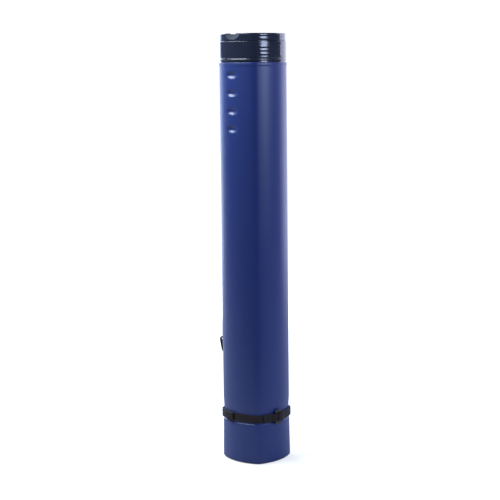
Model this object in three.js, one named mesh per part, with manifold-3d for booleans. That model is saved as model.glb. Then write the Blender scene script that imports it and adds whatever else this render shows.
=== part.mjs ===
// A telescopic poster tube of rounded square section, closed and standing on its foot.
// Millimetres, +Z up the tube. The origin is the centre of the foot's underside.
// -Y is the face with the pressed dimples, +X the face with the belt buckle, -X the strap's face.
// The outer tube carries the belt and the shoulder strap. The inner tube slides up out of it on a
// ribbed channel that the dimples ride in, and its collar and lid rest on the outer tube's mouth.
import * as THREE from "three";
import { mergeVertices } from "three/addons/utils/BufferGeometryUtils.js";
import Module from "manifold-3d";

const wasm = await Module();
wasm.setup();

// Section of the outer tube: bowed sides joined by rounded corners, 100 mm across the corners
const ACROSS_FLATS = 91;
const SIDE_RADIUS = 72.3;
const CORNER_RADIUS = 17;

// Fits
const CLEARANCE = 0.3;
const SLIDING_GAP = 0.6;

// Outer tube
const OUTER_LENGTH = 598;
const OUTER_WALL = 1.8;
const BASE_THICKNESS = 3;
const FOOT_ROUNDING = 4.5;
const FOOT_FLARE = 1;
const LIP_FLARE = 0.2;
const RIM_BEAD = 0.4;
const RIM_HEIGHT = 5;
const RIM_ROUNDING = 0.6;

// Webbing of the belt and the strap
const WEBBING_WIDTH = 12;
const WEBBING_THICKNESS = 1.3;

// Seat that the belt lies in, with a soft neck above it
const BELT_BOTTOM = 64;
const SEAT_DEPTH = 0.9;
const SEAT_BELOW_BELT = 2.5;
const SEAT_ABOVE_BELT = 1;
const NECK_LENGTH = 20;

// Dimples pressed into the face at -Y
const DIMPLE_COUNT = 4;
const DIMPLE_PITCH = 26.2;
const TOP_DIMPLE_BELOW_MOUTH = 17.8;
const DIMPLE_WIDTH = 24;
const DIMPLE_HEIGHT = 12;
const DIMPLE_DEPTH = 3;

// Inner tube, and the channel that the dimples ride in
const INNER_WALL = 1.5;
const TRAVEL_PITCHES = 18;
const STOP_THICKNESS = 5;
const CHANNEL_SIDE_GAP = 3;
const CHANNEL_CORNER = 2;
const POCKET_DEPTH = 1.3;
const RIB_ROUNDING = 3;
const CHANNEL_TOP_BELOW_MOUTH = 6;

// Collar and lid
const COLLAR_INSET = 0.3;
const COLLAR_HEIGHT = 30.4;
const COLLAR_FOOT_HEIGHT = 1.7;
const COLLAR_FOOT_INSET = 1.2;
const COLLAR_EDGE = 0.8;
const INNER_TUBE_REACH = 21.7;
const LID_INSET = 1.15;
const LID_HEIGHT = 11;
const LID_EDGE = 1.5;
const LID_PLATE = 2;
const LID_RECESS_DEPTH = 2.5;
const LID_RIM_WIDTH = 3.8;
const PLUG_DEPTH = 14;
const PLUG_WALL = 1.6;

// Thumb scoop in the lid: an ellipsoid sunk into its edge
const SCOOP_WIDTH = 40;
const SCOOP_REACH = 9;
const SCOOP_DROP = 12;
const SCOOP_OUT = 4.65;
const SCOOP_RISE = 1;

// Lug for the strap's upper end, moulded on the outer tube
const LUG_BELOW_MOUTH = 32;
const LUG_BAR_RADIUS = 2.2;
const LUG_BAR_OUT = 6.5;
const LUG_EAR_THICKNESS = 3;
const LUG_EAR_HEIGHT = 20;
const LUG_EAR_OUT = 9.5;
const LUG_EAR_ROUNDING = 4;
const LUG_SIDE_GAP = 0.5;

// Belt buckle: a frame with two slots round a middle bar
const BUCKLE_ASIDE = -3;
const BUCKLE_BAR = 1.8;
const BUCKLE_SLOT = 4.3;
const BUCKLE_THICKNESS = 1.6;
const BUCKLE_CHEEK = 4.7;
const BUCKLE_ROUNDING = 2;
const BELT_SEWN_LENGTH = 11;
const TAIL_SHORT_OF_CENTRE = 4;
const TAIL_FOLD = 10;

// Strap slider: the same kind of frame, lengthwise on the strap
const SLIDER_HEIGHT = 167;
const SLIDER_OUT = 18.2;
const SLIDER_LEAN = 13;
const SLIDER_BAR = 2.8;
const SLIDER_SLOT = 7.6;
const SLIDER_THICKNESS = 2;
const SLIDER_CHEEK = 4.2;
const SLIDER_ROUNDING = 4;
const STRAP_SEWN_LENGTH = 26;

// Fineness of the curved surfaces
const OUTLINE_STEPS = 64;
const ARC_STEPS = 3;
const BEND_STEPS = 8;
const BALL_STEPS = 20;
const ROUND_STEPS = 16;
const BELT_STEPS = 88;
const FREE_STEP = 16;
const EASE_STEPS = 4;

// The outline's arcs, worked out from the section
const HALF_FLATS = ACROSS_FLATS / 2;
const SIDE_SHIFT = SIDE_RADIUS - HALF_FLATS;
const ARC_GAP = SIDE_RADIUS - CORNER_RADIUS;
const CORNER_CENTRE = (Math.sqrt(2 * ARC_GAP ** 2 - SIDE_SHIFT ** 2) - SIDE_SHIFT) / 2;
const SIDE_HALF_ANGLE = Math.atan2(CORNER_CENTRE, CORNER_CENTRE + SIDE_SHIFT);
const CORNER_HALF_ANGLE = Math.PI / 4 - SIDE_HALF_ANGLE;
const QUARTER_LENGTH = 2 * (SIDE_HALF_ANGLE * SIDE_RADIUS + CORNER_HALF_ANGLE * CORNER_RADIUS);
const PERIMETER = 4 * QUARTER_LENGTH;

// Heights and insets that follow from the sizes above
const SEAT_BOTTOM = BELT_BOTTOM - SEAT_BELOW_BELT;
const SEAT_TOP = BELT_BOTTOM + WEBBING_WIDTH + SEAT_ABOVE_BELT;
const TOP_DIMPLE = OUTER_LENGTH - TOP_DIMPLE_BELOW_MOUTH;
const LOWEST_DIMPLE = TOP_DIMPLE - (DIMPLE_COUNT - 1) * DIMPLE_PITCH;
const INNER_INSET = OUTER_WALL + SLIDING_GAP;
const BORE_INSET = INNER_INSET + INNER_WALL;
const DIMPLE_CREST_INSET = OUTER_WALL + DIMPLE_DEPTH;
const RIB_CREST_INSET = DIMPLE_CREST_INSET + CLEARANCE;
const CHANNEL_FLOOR_INSET = RIB_CREST_INSET + POCKET_DEPTH;
const CHANNEL_HALF_WIDTH = DIMPLE_WIDTH / 2 + OUTER_WALL + CHANNEL_SIDE_GAP;
const TRAVEL = TRAVEL_PITCHES * DIMPLE_PITCH;
const DIMPLE_UNDERSIDE = LOWEST_DIMPLE - DIMPLE_HEIGHT / 2 - OUTER_WALL;
const STOP_TOP = DIMPLE_UNDERSIDE - CLEARANCE - TRAVEL;
const INNER_BOTTOM = STOP_TOP - STOP_THICKNESS;
const COLLAR_BOTTOM = OUTER_LENGTH + CLEARANCE;
const COLLAR_TOP = COLLAR_BOTTOM + COLLAR_HEIGHT;
const INNER_TOP = COLLAR_BOTTOM + INNER_TUBE_REACH;
const CHANNEL_TOP = OUTER_LENGTH - CHANNEL_TOP_BELOW_MOUTH;
const LID_BOTTOM = COLLAR_TOP + CLEARANCE;
const LID_TOP = LID_BOTTOM + LID_HEIGHT;
const LUG_HEIGHT = OUTER_LENGTH - LUG_BELOW_MOUTH;
const BELT_MIDDLE = BELT_BOTTOM + WEBBING_WIDTH / 2;
const LAYER_STEP = WEBBING_THICKNESS + CLEARANCE;
const STRAP_SAG = WEBBING_WIDTH ** 2 / (8 * SIDE_RADIUS);

const QUARTER_TURN = Math.PI / 2;

// A point of the section: direction is the outward normal's angle, standOff how far the outline
// is pushed out along it. All outlines of the part are parallel to this one.
function outlinePoint(direction, standOff) {
  const face = Math.round(direction / QUARTER_TURN) * QUARTER_TURN;
  const turn = direction - face;
  const onSide = Math.abs(turn) <= SIDE_HALF_ANGLE;
  const radius = (onSide ? SIDE_RADIUS : CORNER_RADIUS) + standOff;
  const centre = onSide
    ? new THREE.Vector2(-SIDE_SHIFT, 0)
    : new THREE.Vector2(CORNER_CENTRE, Math.sign(turn) * CORNER_CENTRE);
  const arm = new THREE.Vector2(Math.cos(turn), Math.sin(turn)).multiplyScalar(radius);
  return centre.add(arm).rotateAround(new THREE.Vector2(), face);
}

// The outward normal's angle at a length along the outline, anticlockwise from the middle of +X
function directionAt(length) {
  const quarter = Math.round(length / QUARTER_LENGTH);
  const along = length - quarter * QUARTER_LENGTH;
  const sideHalf = SIDE_HALF_ANGLE * SIDE_RADIUS;
  const past = Math.max(Math.abs(along) - sideHalf, 0);
  const turn = Math.min(Math.abs(along), sideHalf) / SIDE_RADIUS + past / CORNER_RADIUS;
  return quarter * QUARTER_TURN + Math.sign(along) * turn;
}

// A closed geometry as a solid that can be joined and cut
function solidOf(geometry) {
  const bare = geometry.index ? geometry.toNonIndexed() : geometry.clone();
  bare.deleteAttribute("normal");
  bare.deleteAttribute("uv");
  const merged = mergeVertices(bare, 1e-4);
  const corners = merged.index.array;
  const kept = [];
  for (let i = 0; i < corners.length; i += 3) {
    const [a, b, c] = corners.slice(i, i + 3);
    if (a !== b && b !== c && c !== a) kept.push(a, b, c);
  }
  const vertProperties = new Float32Array(merged.getAttribute("position").array);
  const triVerts = new Uint32Array(kept);
  return new wasm.Manifold(new wasm.Mesh({ numProp: 3, vertProperties, triVerts }));
}

// The solid's surface as a geometry
function geometryOf(solid) {
  const { vertProperties, triVerts } = solid.getMesh();
  const geometry = new THREE.BufferGeometry();
  geometry.setAttribute("position", new THREE.BufferAttribute(vertProperties, 3));
  geometry.setIndex(new THREE.BufferAttribute(triVerts, 1));
  geometry.computeVertexNormals();
  return geometry;
}

// A moulded shape with the tube's section: the profile is a list of [inset, height], where an
// inset of null lies on the axis. It is turned as a round shape, and its rings are then moved
// from the circle onto the outline.
function moulded(profile) {
  const points = profile.map(
    ([inset, height]) => new THREE.Vector2(inset === null ? 0 : HALF_FLATS - inset, height),
  );
  const geometry = new THREE.LatheGeometry(points, OUTLINE_STEPS);
  geometry.rotateX(QUARTER_TURN);
  const position = geometry.getAttribute("position");
  for (let i = 0; i < position.count; i++) {
    const flat = new THREE.Vector2(position.getX(i), position.getY(i));
    const reach = flat.length();
    if (reach < CLEARANCE) continue;
    const moved = outlinePoint(flat.angle(), reach - HALF_FLATS);
    position.setXY(i, moved.x, moved.y);
  }
  return solidOf(geometry);
}

// Points of a quarter round from [inset, height] to [inset, height], bulging towards the corner
function rounded(from, corner, to) {
  const curve = new THREE.CubicBezierCurve(
    new THREE.Vector2(...from),
    new THREE.Vector2(...from).lerp(new THREE.Vector2(...corner), 0.55),
    new THREE.Vector2(...to).lerp(new THREE.Vector2(...corner), 0.55),
    new THREE.Vector2(...to),
  );
  return curve.getPoints(ARC_STEPS).map((point) => [point.x, point.y]);
}

// Points of the soft neck, from the belt's seat up to the plain tube
function neck() {
  const points = [];
  for (let step = 0; step <= EASE_STEPS; step++) {
    const share = step / EASE_STEPS;
    const inset = (SEAT_DEPTH * (1 + Math.cos(Math.PI * share))) / 2;
    points.push([inset, SEAT_TOP + NECK_LENGTH * share]);
  }
  return points;
}

function ellipsoid(width, depth, height, centre) {
  const geometry = new THREE.SphereGeometry(1, BALL_STEPS, BALL_STEPS / 2);
  geometry.rotateX(QUARTER_TURN);
  geometry.scale(width / 2, depth, height / 2);
  geometry.translate(centre.x, centre.y, centre.z);
  return solidOf(geometry);
}

// One dimple, grown by a wall: the press mark itself, or the boss that it makes inside
function dimple(height, grown) {
  const centre = new THREE.Vector3(0, -HALF_FLATS, height);
  return ellipsoid(
    DIMPLE_WIDTH + 2 * grown,
    DIMPLE_DEPTH + grown,
    DIMPLE_HEIGHT + 2 * grown,
    centre,
  );
}

// A plate drawn in the plane of X and Z and thickened along Y, centred on y
function uprightPlate(shape, thickness, y) {
  const geometry = new THREE.ExtrudeGeometry(shape, {
    depth: thickness,
    bevelEnabled: false,
    curveSegments: BEND_STEPS,
  });
  geometry.rotateX(QUARTER_TURN);
  geometry.translate(0, y + thickness / 2, 0);
  return geometry;
}

function roundedRectangle(width, height, rounding) {
  const x = width / 2;
  const y = height / 2;
  const shape = new THREE.Shape();
  shape.absarc(x - rounding, y - rounding, rounding, 0, QUARTER_TURN);
  shape.absarc(rounding - x, y - rounding, rounding, QUARTER_TURN, Math.PI);
  shape.absarc(rounding - x, rounding - y, rounding, Math.PI, 3 * QUARTER_TURN);
  shape.absarc(x - rounding, rounding - y, rounding, 3 * QUARTER_TURN, 4 * QUARTER_TURN);
  return shape;
}

// The lug: two ears on the face at -X with a bar between them
function strapLug() {
  const earMiddle = (WEBBING_WIDTH + LUG_EAR_THICKNESS) / 2 + LUG_SIDE_GAP;
  const root = OUTER_WALL / 2;
  const ear = roundedRectangle(2 * (LUG_EAR_OUT + root), LUG_EAR_HEIGHT, LUG_EAR_ROUNDING);
  const overBothEars = 2 * (earMiddle + LUG_EAR_THICKNESS);
  const nearHalf = new THREE.BoxGeometry(LUG_EAR_OUT + root, overBothEars, LUG_EAR_HEIGHT);
  nearHalf.translate((LUG_EAR_OUT + root) / 2, 0, 0);
  const faceSag = earMiddle ** 2 / (2 * SIDE_RADIUS);
  const rootX = -HALF_FLATS + root + faceSag;
  const bar = new THREE.CylinderGeometry(
    LUG_BAR_RADIUS,
    LUG_BAR_RADIUS,
    2 * earMiddle,
    ROUND_STEPS,
  );
  bar.translate(-HALF_FLATS - LUG_BAR_OUT, 0, LUG_HEIGHT);
  let lug = solidOf(bar);
  for (const side of [-1, 1]) {
    const plate = solidOf(uprightPlate(ear, LUG_EAR_THICKNESS, side * earMiddle));
    lug = lug.add(plate.subtract(solidOf(nearHalf)).translate([rootX, 0, LUG_HEIGHT]));
  }
  return lug;
}

function outerTube() {
  const foot = [-FOOT_FLARE, 0];
  const outside = moulded([
    [null, 0],
    ...rounded([FOOT_ROUNDING - FOOT_FLARE, 0], foot, [-FOOT_FLARE, FOOT_ROUNDING]),
    [-LIP_FLARE, SEAT_BOTTOM - SEAT_DEPTH],
    [0, SEAT_BOTTOM],
    [SEAT_DEPTH, SEAT_BOTTOM + SEAT_DEPTH / 2],
    ...neck(),
    [0, OUTER_LENGTH - RIM_HEIGHT],
    [-RIM_BEAD, OUTER_LENGTH - RIM_HEIGHT + RIM_BEAD],
    [-RIM_BEAD, OUTER_LENGTH - RIM_ROUNDING],
    [RIM_ROUNDING - RIM_BEAD, OUTER_LENGTH],
    [null, OUTER_LENGTH],
  ]);
  const floorCorner = [OUTER_WALL, BASE_THICKNESS];
  let inside = moulded([
    [null, BASE_THICKNESS],
    ...rounded(
      [OUTER_WALL + FOOT_ROUNDING, BASE_THICKNESS],
      floorCorner,
      [OUTER_WALL, BASE_THICKNESS + FOOT_ROUNDING],
    ),
    [OUTER_WALL, OUTER_LENGTH + CLEARANCE],
    [null, OUTER_LENGTH + CLEARANCE],
  ]);
  let marks = null;
  for (let i = 0; i < DIMPLE_COUNT; i++) {
    const height = LOWEST_DIMPLE + i * DIMPLE_PITCH;
    inside = inside.subtract(dimple(height, OUTER_WALL));
    marks = marks ? marks.add(dimple(height, 0)) : dimple(height, 0);
  }
  return outside.subtract(inside).subtract(marks).add(strapLug());
}

// The channel's section, open towards -Y, with its floor's corners cut off
function channelShape(grown) {
  const half = CHANNEL_HALF_WIDTH + grown;
  const floor = -HALF_FLATS + CHANNEL_FLOOR_INSET + grown;
  const shape = new THREE.Shape();
  shape.moveTo(-half, -HALF_FLATS - CHANNEL_CORNER);
  shape.lineTo(half, -HALF_FLATS - CHANNEL_CORNER);
  shape.lineTo(half, floor - CHANNEL_CORNER);
  shape.lineTo(half - CHANNEL_CORNER, floor);
  shape.lineTo(CHANNEL_CORNER - half, floor);
  shape.lineTo(-half, floor - CHANNEL_CORNER);
  return shape;
}

function channel(grown) {
  const length = CHANNEL_TOP - STOP_TOP + 2 * grown;
  const geometry = new THREE.ExtrudeGeometry(channelShape(grown), {
    depth: length,
    bevelEnabled: false,
  });
  geometry.translate(0, 0, STOP_TOP - grown);
  return solidOf(geometry);
}

// Low ribs across the channel, one between every two places where a dimple can stop
function channelRibs() {
  const ribs = [];
  const first = LOWEST_DIMPLE - TRAVEL + DIMPLE_PITCH / 2;
  for (let height = first; height < CHANNEL_TOP - RIB_ROUNDING; height += DIMPLE_PITCH) {
    const rib = new THREE.CylinderGeometry(
      RIB_ROUNDING,
      RIB_ROUNDING,
      4 * CHANNEL_HALF_WIDTH,
      ROUND_STEPS,
    );
    rib.rotateZ(QUARTER_TURN);
    rib.translate(0, -HALF_FLATS + RIB_CREST_INSET + RIB_ROUNDING, height);
    ribs.push(solidOf(rib));
  }
  return ribs.reduce((all, rib) => all.add(rib));
}

function innerTube() {
  const outside = moulded([
    [null, INNER_BOTTOM],
    [INNER_INSET + INNER_WALL / 2, INNER_BOTTOM],
    [INNER_INSET, INNER_BOTTOM + INNER_WALL],
    [INNER_INSET, INNER_TOP],
    [null, INNER_TOP],
  ]);
  const inside = moulded([
    [null, INNER_BOTTOM - CLEARANCE],
    [BORE_INSET, INNER_BOTTOM - CLEARANCE],
    [BORE_INSET, INNER_TOP + CLEARANCE],
    [null, INNER_TOP + CLEARANCE],
  ]);
  const hollow = inside.subtract(channel(INNER_WALL));
  return outside.subtract(hollow).subtract(channel(0).subtract(channelRibs()));
}

// The collar stands on the outer tube's mouth. A socket from below takes the inner tube's end.
function collar() {
  const socketTop = INNER_TOP + CLEARANCE;
  const socketInset = INNER_INSET - CLEARANCE;
  const waist = COLLAR_BOTTOM + COLLAR_FOOT_HEIGHT;
  return moulded([
    [COLLAR_FOOT_INSET, COLLAR_BOTTOM],
    [COLLAR_FOOT_INSET, waist],
    ...rounded(
      [COLLAR_INSET + COLLAR_EDGE, waist],
      [COLLAR_INSET, waist],
      [COLLAR_INSET, waist + COLLAR_EDGE],
    ),
    ...rounded(
      [COLLAR_INSET, COLLAR_TOP - COLLAR_EDGE],
      [COLLAR_INSET, COLLAR_TOP],
      [COLLAR_INSET + COLLAR_EDGE, COLLAR_TOP],
    ),
    [BORE_INSET, COLLAR_TOP],
    [BORE_INSET, socketTop],
    [socketInset, socketTop],
    [socketInset, COLLAR_BOTTOM],
    [COLLAR_FOOT_INSET, COLLAR_BOTTOM],
  ]);
}

// The lid rests on the collar, with a hollow plug in its bore and a scoop for the thumb
function lid() {
  const plugInset = BORE_INSET + CLEARANCE;
  const plugBottom = LID_BOTTOM - PLUG_DEPTH;
  const plateTop = LID_TOP - LID_RECESS_DEPTH;
  const plateBottom = plateTop - LID_PLATE;
  const rimInset = LID_INSET + LID_RIM_WIDTH;
  const body = moulded([
    [null, plateBottom],
    [plugInset + PLUG_WALL, plateBottom],
    [plugInset + PLUG_WALL, plugBottom],
    [plugInset + CLEARANCE, plugBottom],
    [plugInset, plugBottom + PLUG_WALL],
    [plugInset, LID_BOTTOM],
    [LID_INSET, LID_BOTTOM],
    ...rounded(
      [LID_INSET, LID_TOP - LID_EDGE],
      [LID_INSET, LID_TOP],
      [LID_INSET + LID_EDGE, LID_TOP],
    ),
    [rimInset, LID_TOP],
    [rimInset, plateTop],
    [null, plateTop],
  ]);
  const scoopCentre = new THREE.Vector3(
    0,
    -HALF_FLATS + LID_INSET - SCOOP_OUT,
    LID_TOP + SCOOP_RISE,
  );
  return body.subtract(ellipsoid(SCOOP_WIDTH, SCOOP_REACH, 2 * SCOOP_DROP, scoopCentre));
}

// How far the middle of webbing layer number n stands off the tube's plain face
function layer(n) {
  return CLEARANCE + WEBBING_THICKNESS / 2 - SEAT_DEPTH + n * LAYER_STEP;
}

// The radius at which the middle of the webbing bends round a bar without touching it
function bendRound(bar, thickness) {
  return Math.hypot(bar, thickness) / 2 + CLEARANCE + WEBBING_THICKNESS / 2;
}

// The ends of a line, and where its x passes the marks of a scale. Layers of webbing that lie on
// each other are divided at the same marks, so their facets stay parallel.
function dividedLine(line, scale) {
  const low = Math.min(line.v1.x, line.v2.x);
  const high = Math.max(line.v1.x, line.v2.x);
  const shares = [0, 1];
  for (let mark = Math.ceil(low / scale) * scale; mark < high; mark += scale) {
    shares.push((mark - line.v1.x) / (line.v2.x - line.v1.x));
  }
  return shares.sort((a, b) => a - b).map((share) => line.getPoint(share));
}

// Points along a path of lines, arcs and free curves. Its lines are divided where a scale is given.
function pointsAlong(path, scale) {
  const points = [];
  for (const curve of path.curves) {
    const free = EASE_STEPS + Math.ceil(curve.getLength() / FREE_STEP);
    const parts = curve.isCubicBezierCurve ? free : BEND_STEPS;
    points.push(...(curve.isLineCurve ? dividedLine(curve, scale) : curve.getPoints(parts)));
  }
  return points.filter((point, i) => i === 0 || point.distanceTo(points[i - 1]) > CLEARANCE / 10);
}

// A strip of webbing as a shape: its middle line is a path in a plane of its own, thickened to
// both sides there and then placed point by point.
function stripShape(path, place, scale = Infinity) {
  const middle = pointsAlong(path, scale);
  const sides = [1, -1].map((side) =>
    middle.map((point, i) => {
      const before = middle[Math.max(i - 1, 0)];
      const after = middle[Math.min(i + 1, middle.length - 1)];
      const along = after.clone().sub(before).normalize();
      const across = new THREE.Vector2(-along.y, along.x);
      return point.clone().addScaledVector(across, (side * WEBBING_THICKNESS) / 2);
    }),
  );
  const outline = [...sides[0], ...sides[1].reverse()];
  return new THREE.Shape(outline.map((point) => place(point.x, point.y)));
}

// The belt is lifted off its seat where the strap's end passes behind it
function beltLift(length) {
  const fromStrap = Math.abs(length + PERIMETER / 2) - WEBBING_WIDTH / 2 - CLEARANCE;
  const share = THREE.MathUtils.smoothstep(fromStrap, 0, WEBBING_WIDTH);
  return (1 - share) * (LAYER_STEP + STRAP_SAG);
}

// The belt: its sewn end loops the buckle's near bar, one turn lies in the seat, and the other
// end wraps the middle bar and runs back over the first turn to a folded tip on the face at -Y.
// The path's x is the length along the tube's outline and its y the distance off the face.
function baseBelt() {
  const pitch = BUCKLE_BAR + BUCKLE_SLOT;
  const bend = bendRound(BUCKLE_BAR, BUCKLE_THICKNESS);
  const barOut = (aside) => layer(0) + bend + aside ** 2 / (2 * SIDE_RADIUS);
  const near = BUCKLE_ASIDE - pitch;
  const nearOut = barOut(near);
  const round = BUCKLE_ASIDE - PERIMETER;
  const roundOut = barOut(BUCKLE_ASIDE);
  const far = round + pitch;
  const farOver = barOut(BUCKLE_ASIDE + pitch) + bend;
  const rise = 2 * BUCKLE_SLOT;
  const half = BUCKLE_BAR / 2;
  const tip = -PERIMETER / 4 - TAIL_SHORT_OF_CENTRE;
  const fold = LAYER_STEP / 2;
  const path = new THREE.Path();
  path.moveTo(near - rise - BELT_SEWN_LENGTH, layer(1));
  path.lineTo(near - rise, layer(1));
  const nearOver = nearOut + bend;
  path.bezierCurveTo(near - rise / 2, layer(1), near - rise / 2, nearOver, near - half, nearOver);
  path.absarc(near, nearOut, bend, QUARTER_TURN, -QUARTER_TURN, true);
  path.lineTo(near - BUCKLE_SLOT, layer(0));
  path.lineTo(round, layer(0));
  path.absarc(round, roundOut, bend, -QUARTER_TURN, -3 * QUARTER_TURN, true);
  path.lineTo(far + half, farOver);
  path.bezierCurveTo(far + rise / 2, farOver, far + rise / 2, layer(1), far + rise, layer(1));
  path.lineTo(tip - fold, layer(1));
  path.absarc(tip - fold, layer(1) + fold, fold, -QUARTER_TURN, QUARTER_TURN);
  path.lineTo(tip - TAIL_FOLD, layer(2));
  const place = (length, out) => outlinePoint(directionAt(length), out + beltLift(length));
  const geometry = new THREE.ExtrudeGeometry(stripShape(path, place, PERIMETER / BELT_STEPS), {
    depth: WEBBING_WIDTH,
    bevelEnabled: false,
  });
  return geometry.translate(0, 0, BELT_BOTTOM);
}

// A rounded frame with two slots side by side round a middle bar, in the plane of X and Y
function slottedFrame(bar, slot, cheek, rounding, thickness) {
  const width = 3 * bar + 2 * slot;
  const opening = WEBBING_WIDTH + 2 * CLEARANCE;
  const plate = new THREE.ExtrudeGeometry(
    roundedRectangle(width, opening + 2 * cheek, rounding),
    { depth: thickness, bevelEnabled: false, curveSegments: BEND_STEPS },
  );
  let frame = solidOf(plate.translate(0, 0, -thickness / 2));
  for (const side of [-1, 1]) {
    const hole = new THREE.BoxGeometry(slot, opening, 2 * thickness);
    frame = frame.subtract(solidOf(hole.translate((side * (bar + slot)) / 2, 0, 0)));
  }
  return geometryOf(frame);
}

// The buckle stands upright on the face at +X, its bars along Z
function beltBuckle() {
  const geometry = slottedFrame(
    BUCKLE_BAR,
    BUCKLE_SLOT,
    BUCKLE_CHEEK,
    BUCKLE_ROUNDING,
    BUCKLE_THICKNESS,
  );
  const out = layer(0) + bendRound(BUCKLE_BAR, BUCKLE_THICKNESS);
  geometry.rotateX(QUARTER_TURN);
  geometry.rotateZ(QUARTER_TURN);
  return geometry.translate(HALF_FLATS + out, BUCKLE_ASIDE, BELT_MIDDLE);
}

// A point of the slider's own plane, [up the strap, outwards], as [height, distance off the face]
function onSlider(up, out) {
  const lean = THREE.MathUtils.degToRad(SLIDER_LEAN);
  return [
    SLIDER_HEIGHT + up * Math.cos(lean) - out * Math.sin(lean),
    SLIDER_OUT + up * Math.sin(lean) + out * Math.cos(lean),
  ];
}

// The strap: its sewn upper end loops the lug's bar. It hangs down the face at -X, weaves through
// the slider, goes round the belt from below and comes back up to the slider's middle bar.
// The path's x is the height and its y the distance off the face.
function shoulderStrap() {
  const half = WEBBING_THICKNESS / 2;
  const barBend = LUG_BAR_RADIUS + CLEARANCE + half;
  const innerLeg = LUG_BAR_OUT - barBend;
  const outerLeg = innerLeg + LAYER_STEP;
  const sewn = LUG_HEIGHT - STRAP_SEWN_LENGTH;
  const pitch = SLIDER_BAR + SLIDER_SLOT;
  const under = SLIDER_THICKNESS / 2 + 2 * half;
  const loop = bendRound(SLIDER_BAR, SLIDER_THICKNESS);
  const over = loop + LAYER_STEP + CLEARANCE;
  const returning = under + LAYER_STEP + CLEARANCE;
  const outside = layer(3) + STRAP_SAG;
  const turn = (outside - layer(0)) / 2;
  const path = new THREE.Path();
  const weave = (from, to, endOut, startOut) =>
    path.bezierCurveTo(
      ...onSlider((from + to) / 2, startOut),
      ...onSlider((from + to) / 2, endOut),
      ...onSlider(to, endOut),
    );
  path.moveTo(sewn, innerLeg);
  path.lineTo(LUG_HEIGHT, innerLeg);
  path.absarc(LUG_HEIGHT, LUG_BAR_OUT, barBend, -QUARTER_TURN, QUARTER_TURN);
  path.bezierCurveTo(
    LUG_HEIGHT - 2 * barBend,
    LUG_BAR_OUT + barBend,
    LUG_HEIGHT - 2 * barBend,
    outerLeg,
    LUG_HEIGHT - 5 * barBend,
    outerLeg,
  );
  path.lineTo(sewn, outerLeg);
  path.bezierCurveTo(
    sewn - (sewn - SLIDER_HEIGHT) / 3,
    outerLeg,
    ...onSlider(5 * pitch, -pitch),
    ...onSlider(pitch + SLIDER_BAR, -under),
  );
  path.lineTo(...onSlider(pitch, -under));
  weave(pitch, 0, over, -under);
  weave(0, -pitch, -under, over);
  path.bezierCurveTo(
    ...onSlider(-2 * pitch, -under),
    BELT_BOTTOM + 3 * WEBBING_WIDTH,
    outside,
    BELT_BOTTOM + WEBBING_WIDTH,
    outside,
  );
  path.lineTo(BELT_BOTTOM, outside);
  path.absarc(BELT_BOTTOM, layer(0) + turn, turn, QUARTER_TURN, 3 * QUARTER_TURN);
  path.lineTo(BELT_BOTTOM + WEBBING_WIDTH, layer(0));
  path.bezierCurveTo(
    BELT_BOTTOM + 2 * WEBBING_WIDTH,
    layer(0),
    ...onSlider(-2 * pitch, -returning),
    ...onSlider(-pitch, -returning),
  );
  weave(-pitch, 0, -loop, -returning);
  const [barHeight, barOut] = onSlider(0, 0);
  const lean = THREE.MathUtils.degToRad(SLIDER_LEAN);
  path.absarc(barHeight, barOut, loop, lean - QUARTER_TURN, lean + QUARTER_TURN + lean);
  const place = (height, out) => new THREE.Vector2(-HALF_FLATS - out, height);
  return uprightPlate(stripShape(path, place), WEBBING_WIDTH, 0);
}

// The slider lies in the strap, leaning out at its top
function strapSlider() {
  const geometry = slottedFrame(
    SLIDER_BAR,
    SLIDER_SLOT,
    SLIDER_CHEEK,
    SLIDER_ROUNDING,
    SLIDER_THICKNESS,
  );
  geometry.rotateY(-QUARTER_TURN);
  geometry.rotateY(-THREE.MathUtils.degToRad(SLIDER_LEAN));
  const [height, out] = onSlider(0, 0);
  return geometry.translate(-HALF_FLATS - out, 0, height);
}

const navyPlastic = { color: 0x24356f, roughness: 0.42, metalness: 0 };
const darkPlastic = { color: 0x14161c, roughness: 0.25, metalness: 0 };
const innerPlastic = { color: 0x1a1c22, roughness: 0.45, metalness: 0 };
const webbing = { color: 0x17161a, roughness: 0.9, metalness: 0 };
const hardware = { color: 0x101114, roughness: 0.35, metalness: 0 };

const pieces = [
  ["outer_tube", geometryOf(outerTube()), navyPlastic],
  ["inner_tube", geometryOf(innerTube()), innerPlastic],
  ["collar", geometryOf(collar()), darkPlastic],
  ["lid", geometryOf(lid()), darkPlastic],
  ["base_belt", baseBelt(), webbing],
  ["belt_buckle", beltBuckle(), hardware],
  ["shoulder_strap", shoulderStrap(), webbing],
  ["strap_slider", strapSlider(), hardware],
];

const group = new THREE.Group();
for (const [name, geometry, finish] of pieces) {
  const mesh = new THREE.Mesh(geometry, new THREE.MeshStandardMaterial(finish));
  mesh.name = name;
  group.add(mesh);
}

export default group;
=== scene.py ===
"""Looks of a telescopic poster tube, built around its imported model.

A navy tube of rounded square section stands on its foot. Its sliding inner tube carries a glossy
black collar and a push-on lid. A webbing belt goes round the foot, and a shoulder strap hangs on
the hidden face. Lengths are in millimetres and angles in radians, unless a name says otherwise.
"""

import logging
from dataclasses import dataclass, field
from enum import Enum
from typing import Callable, Sequence, Union

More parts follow.
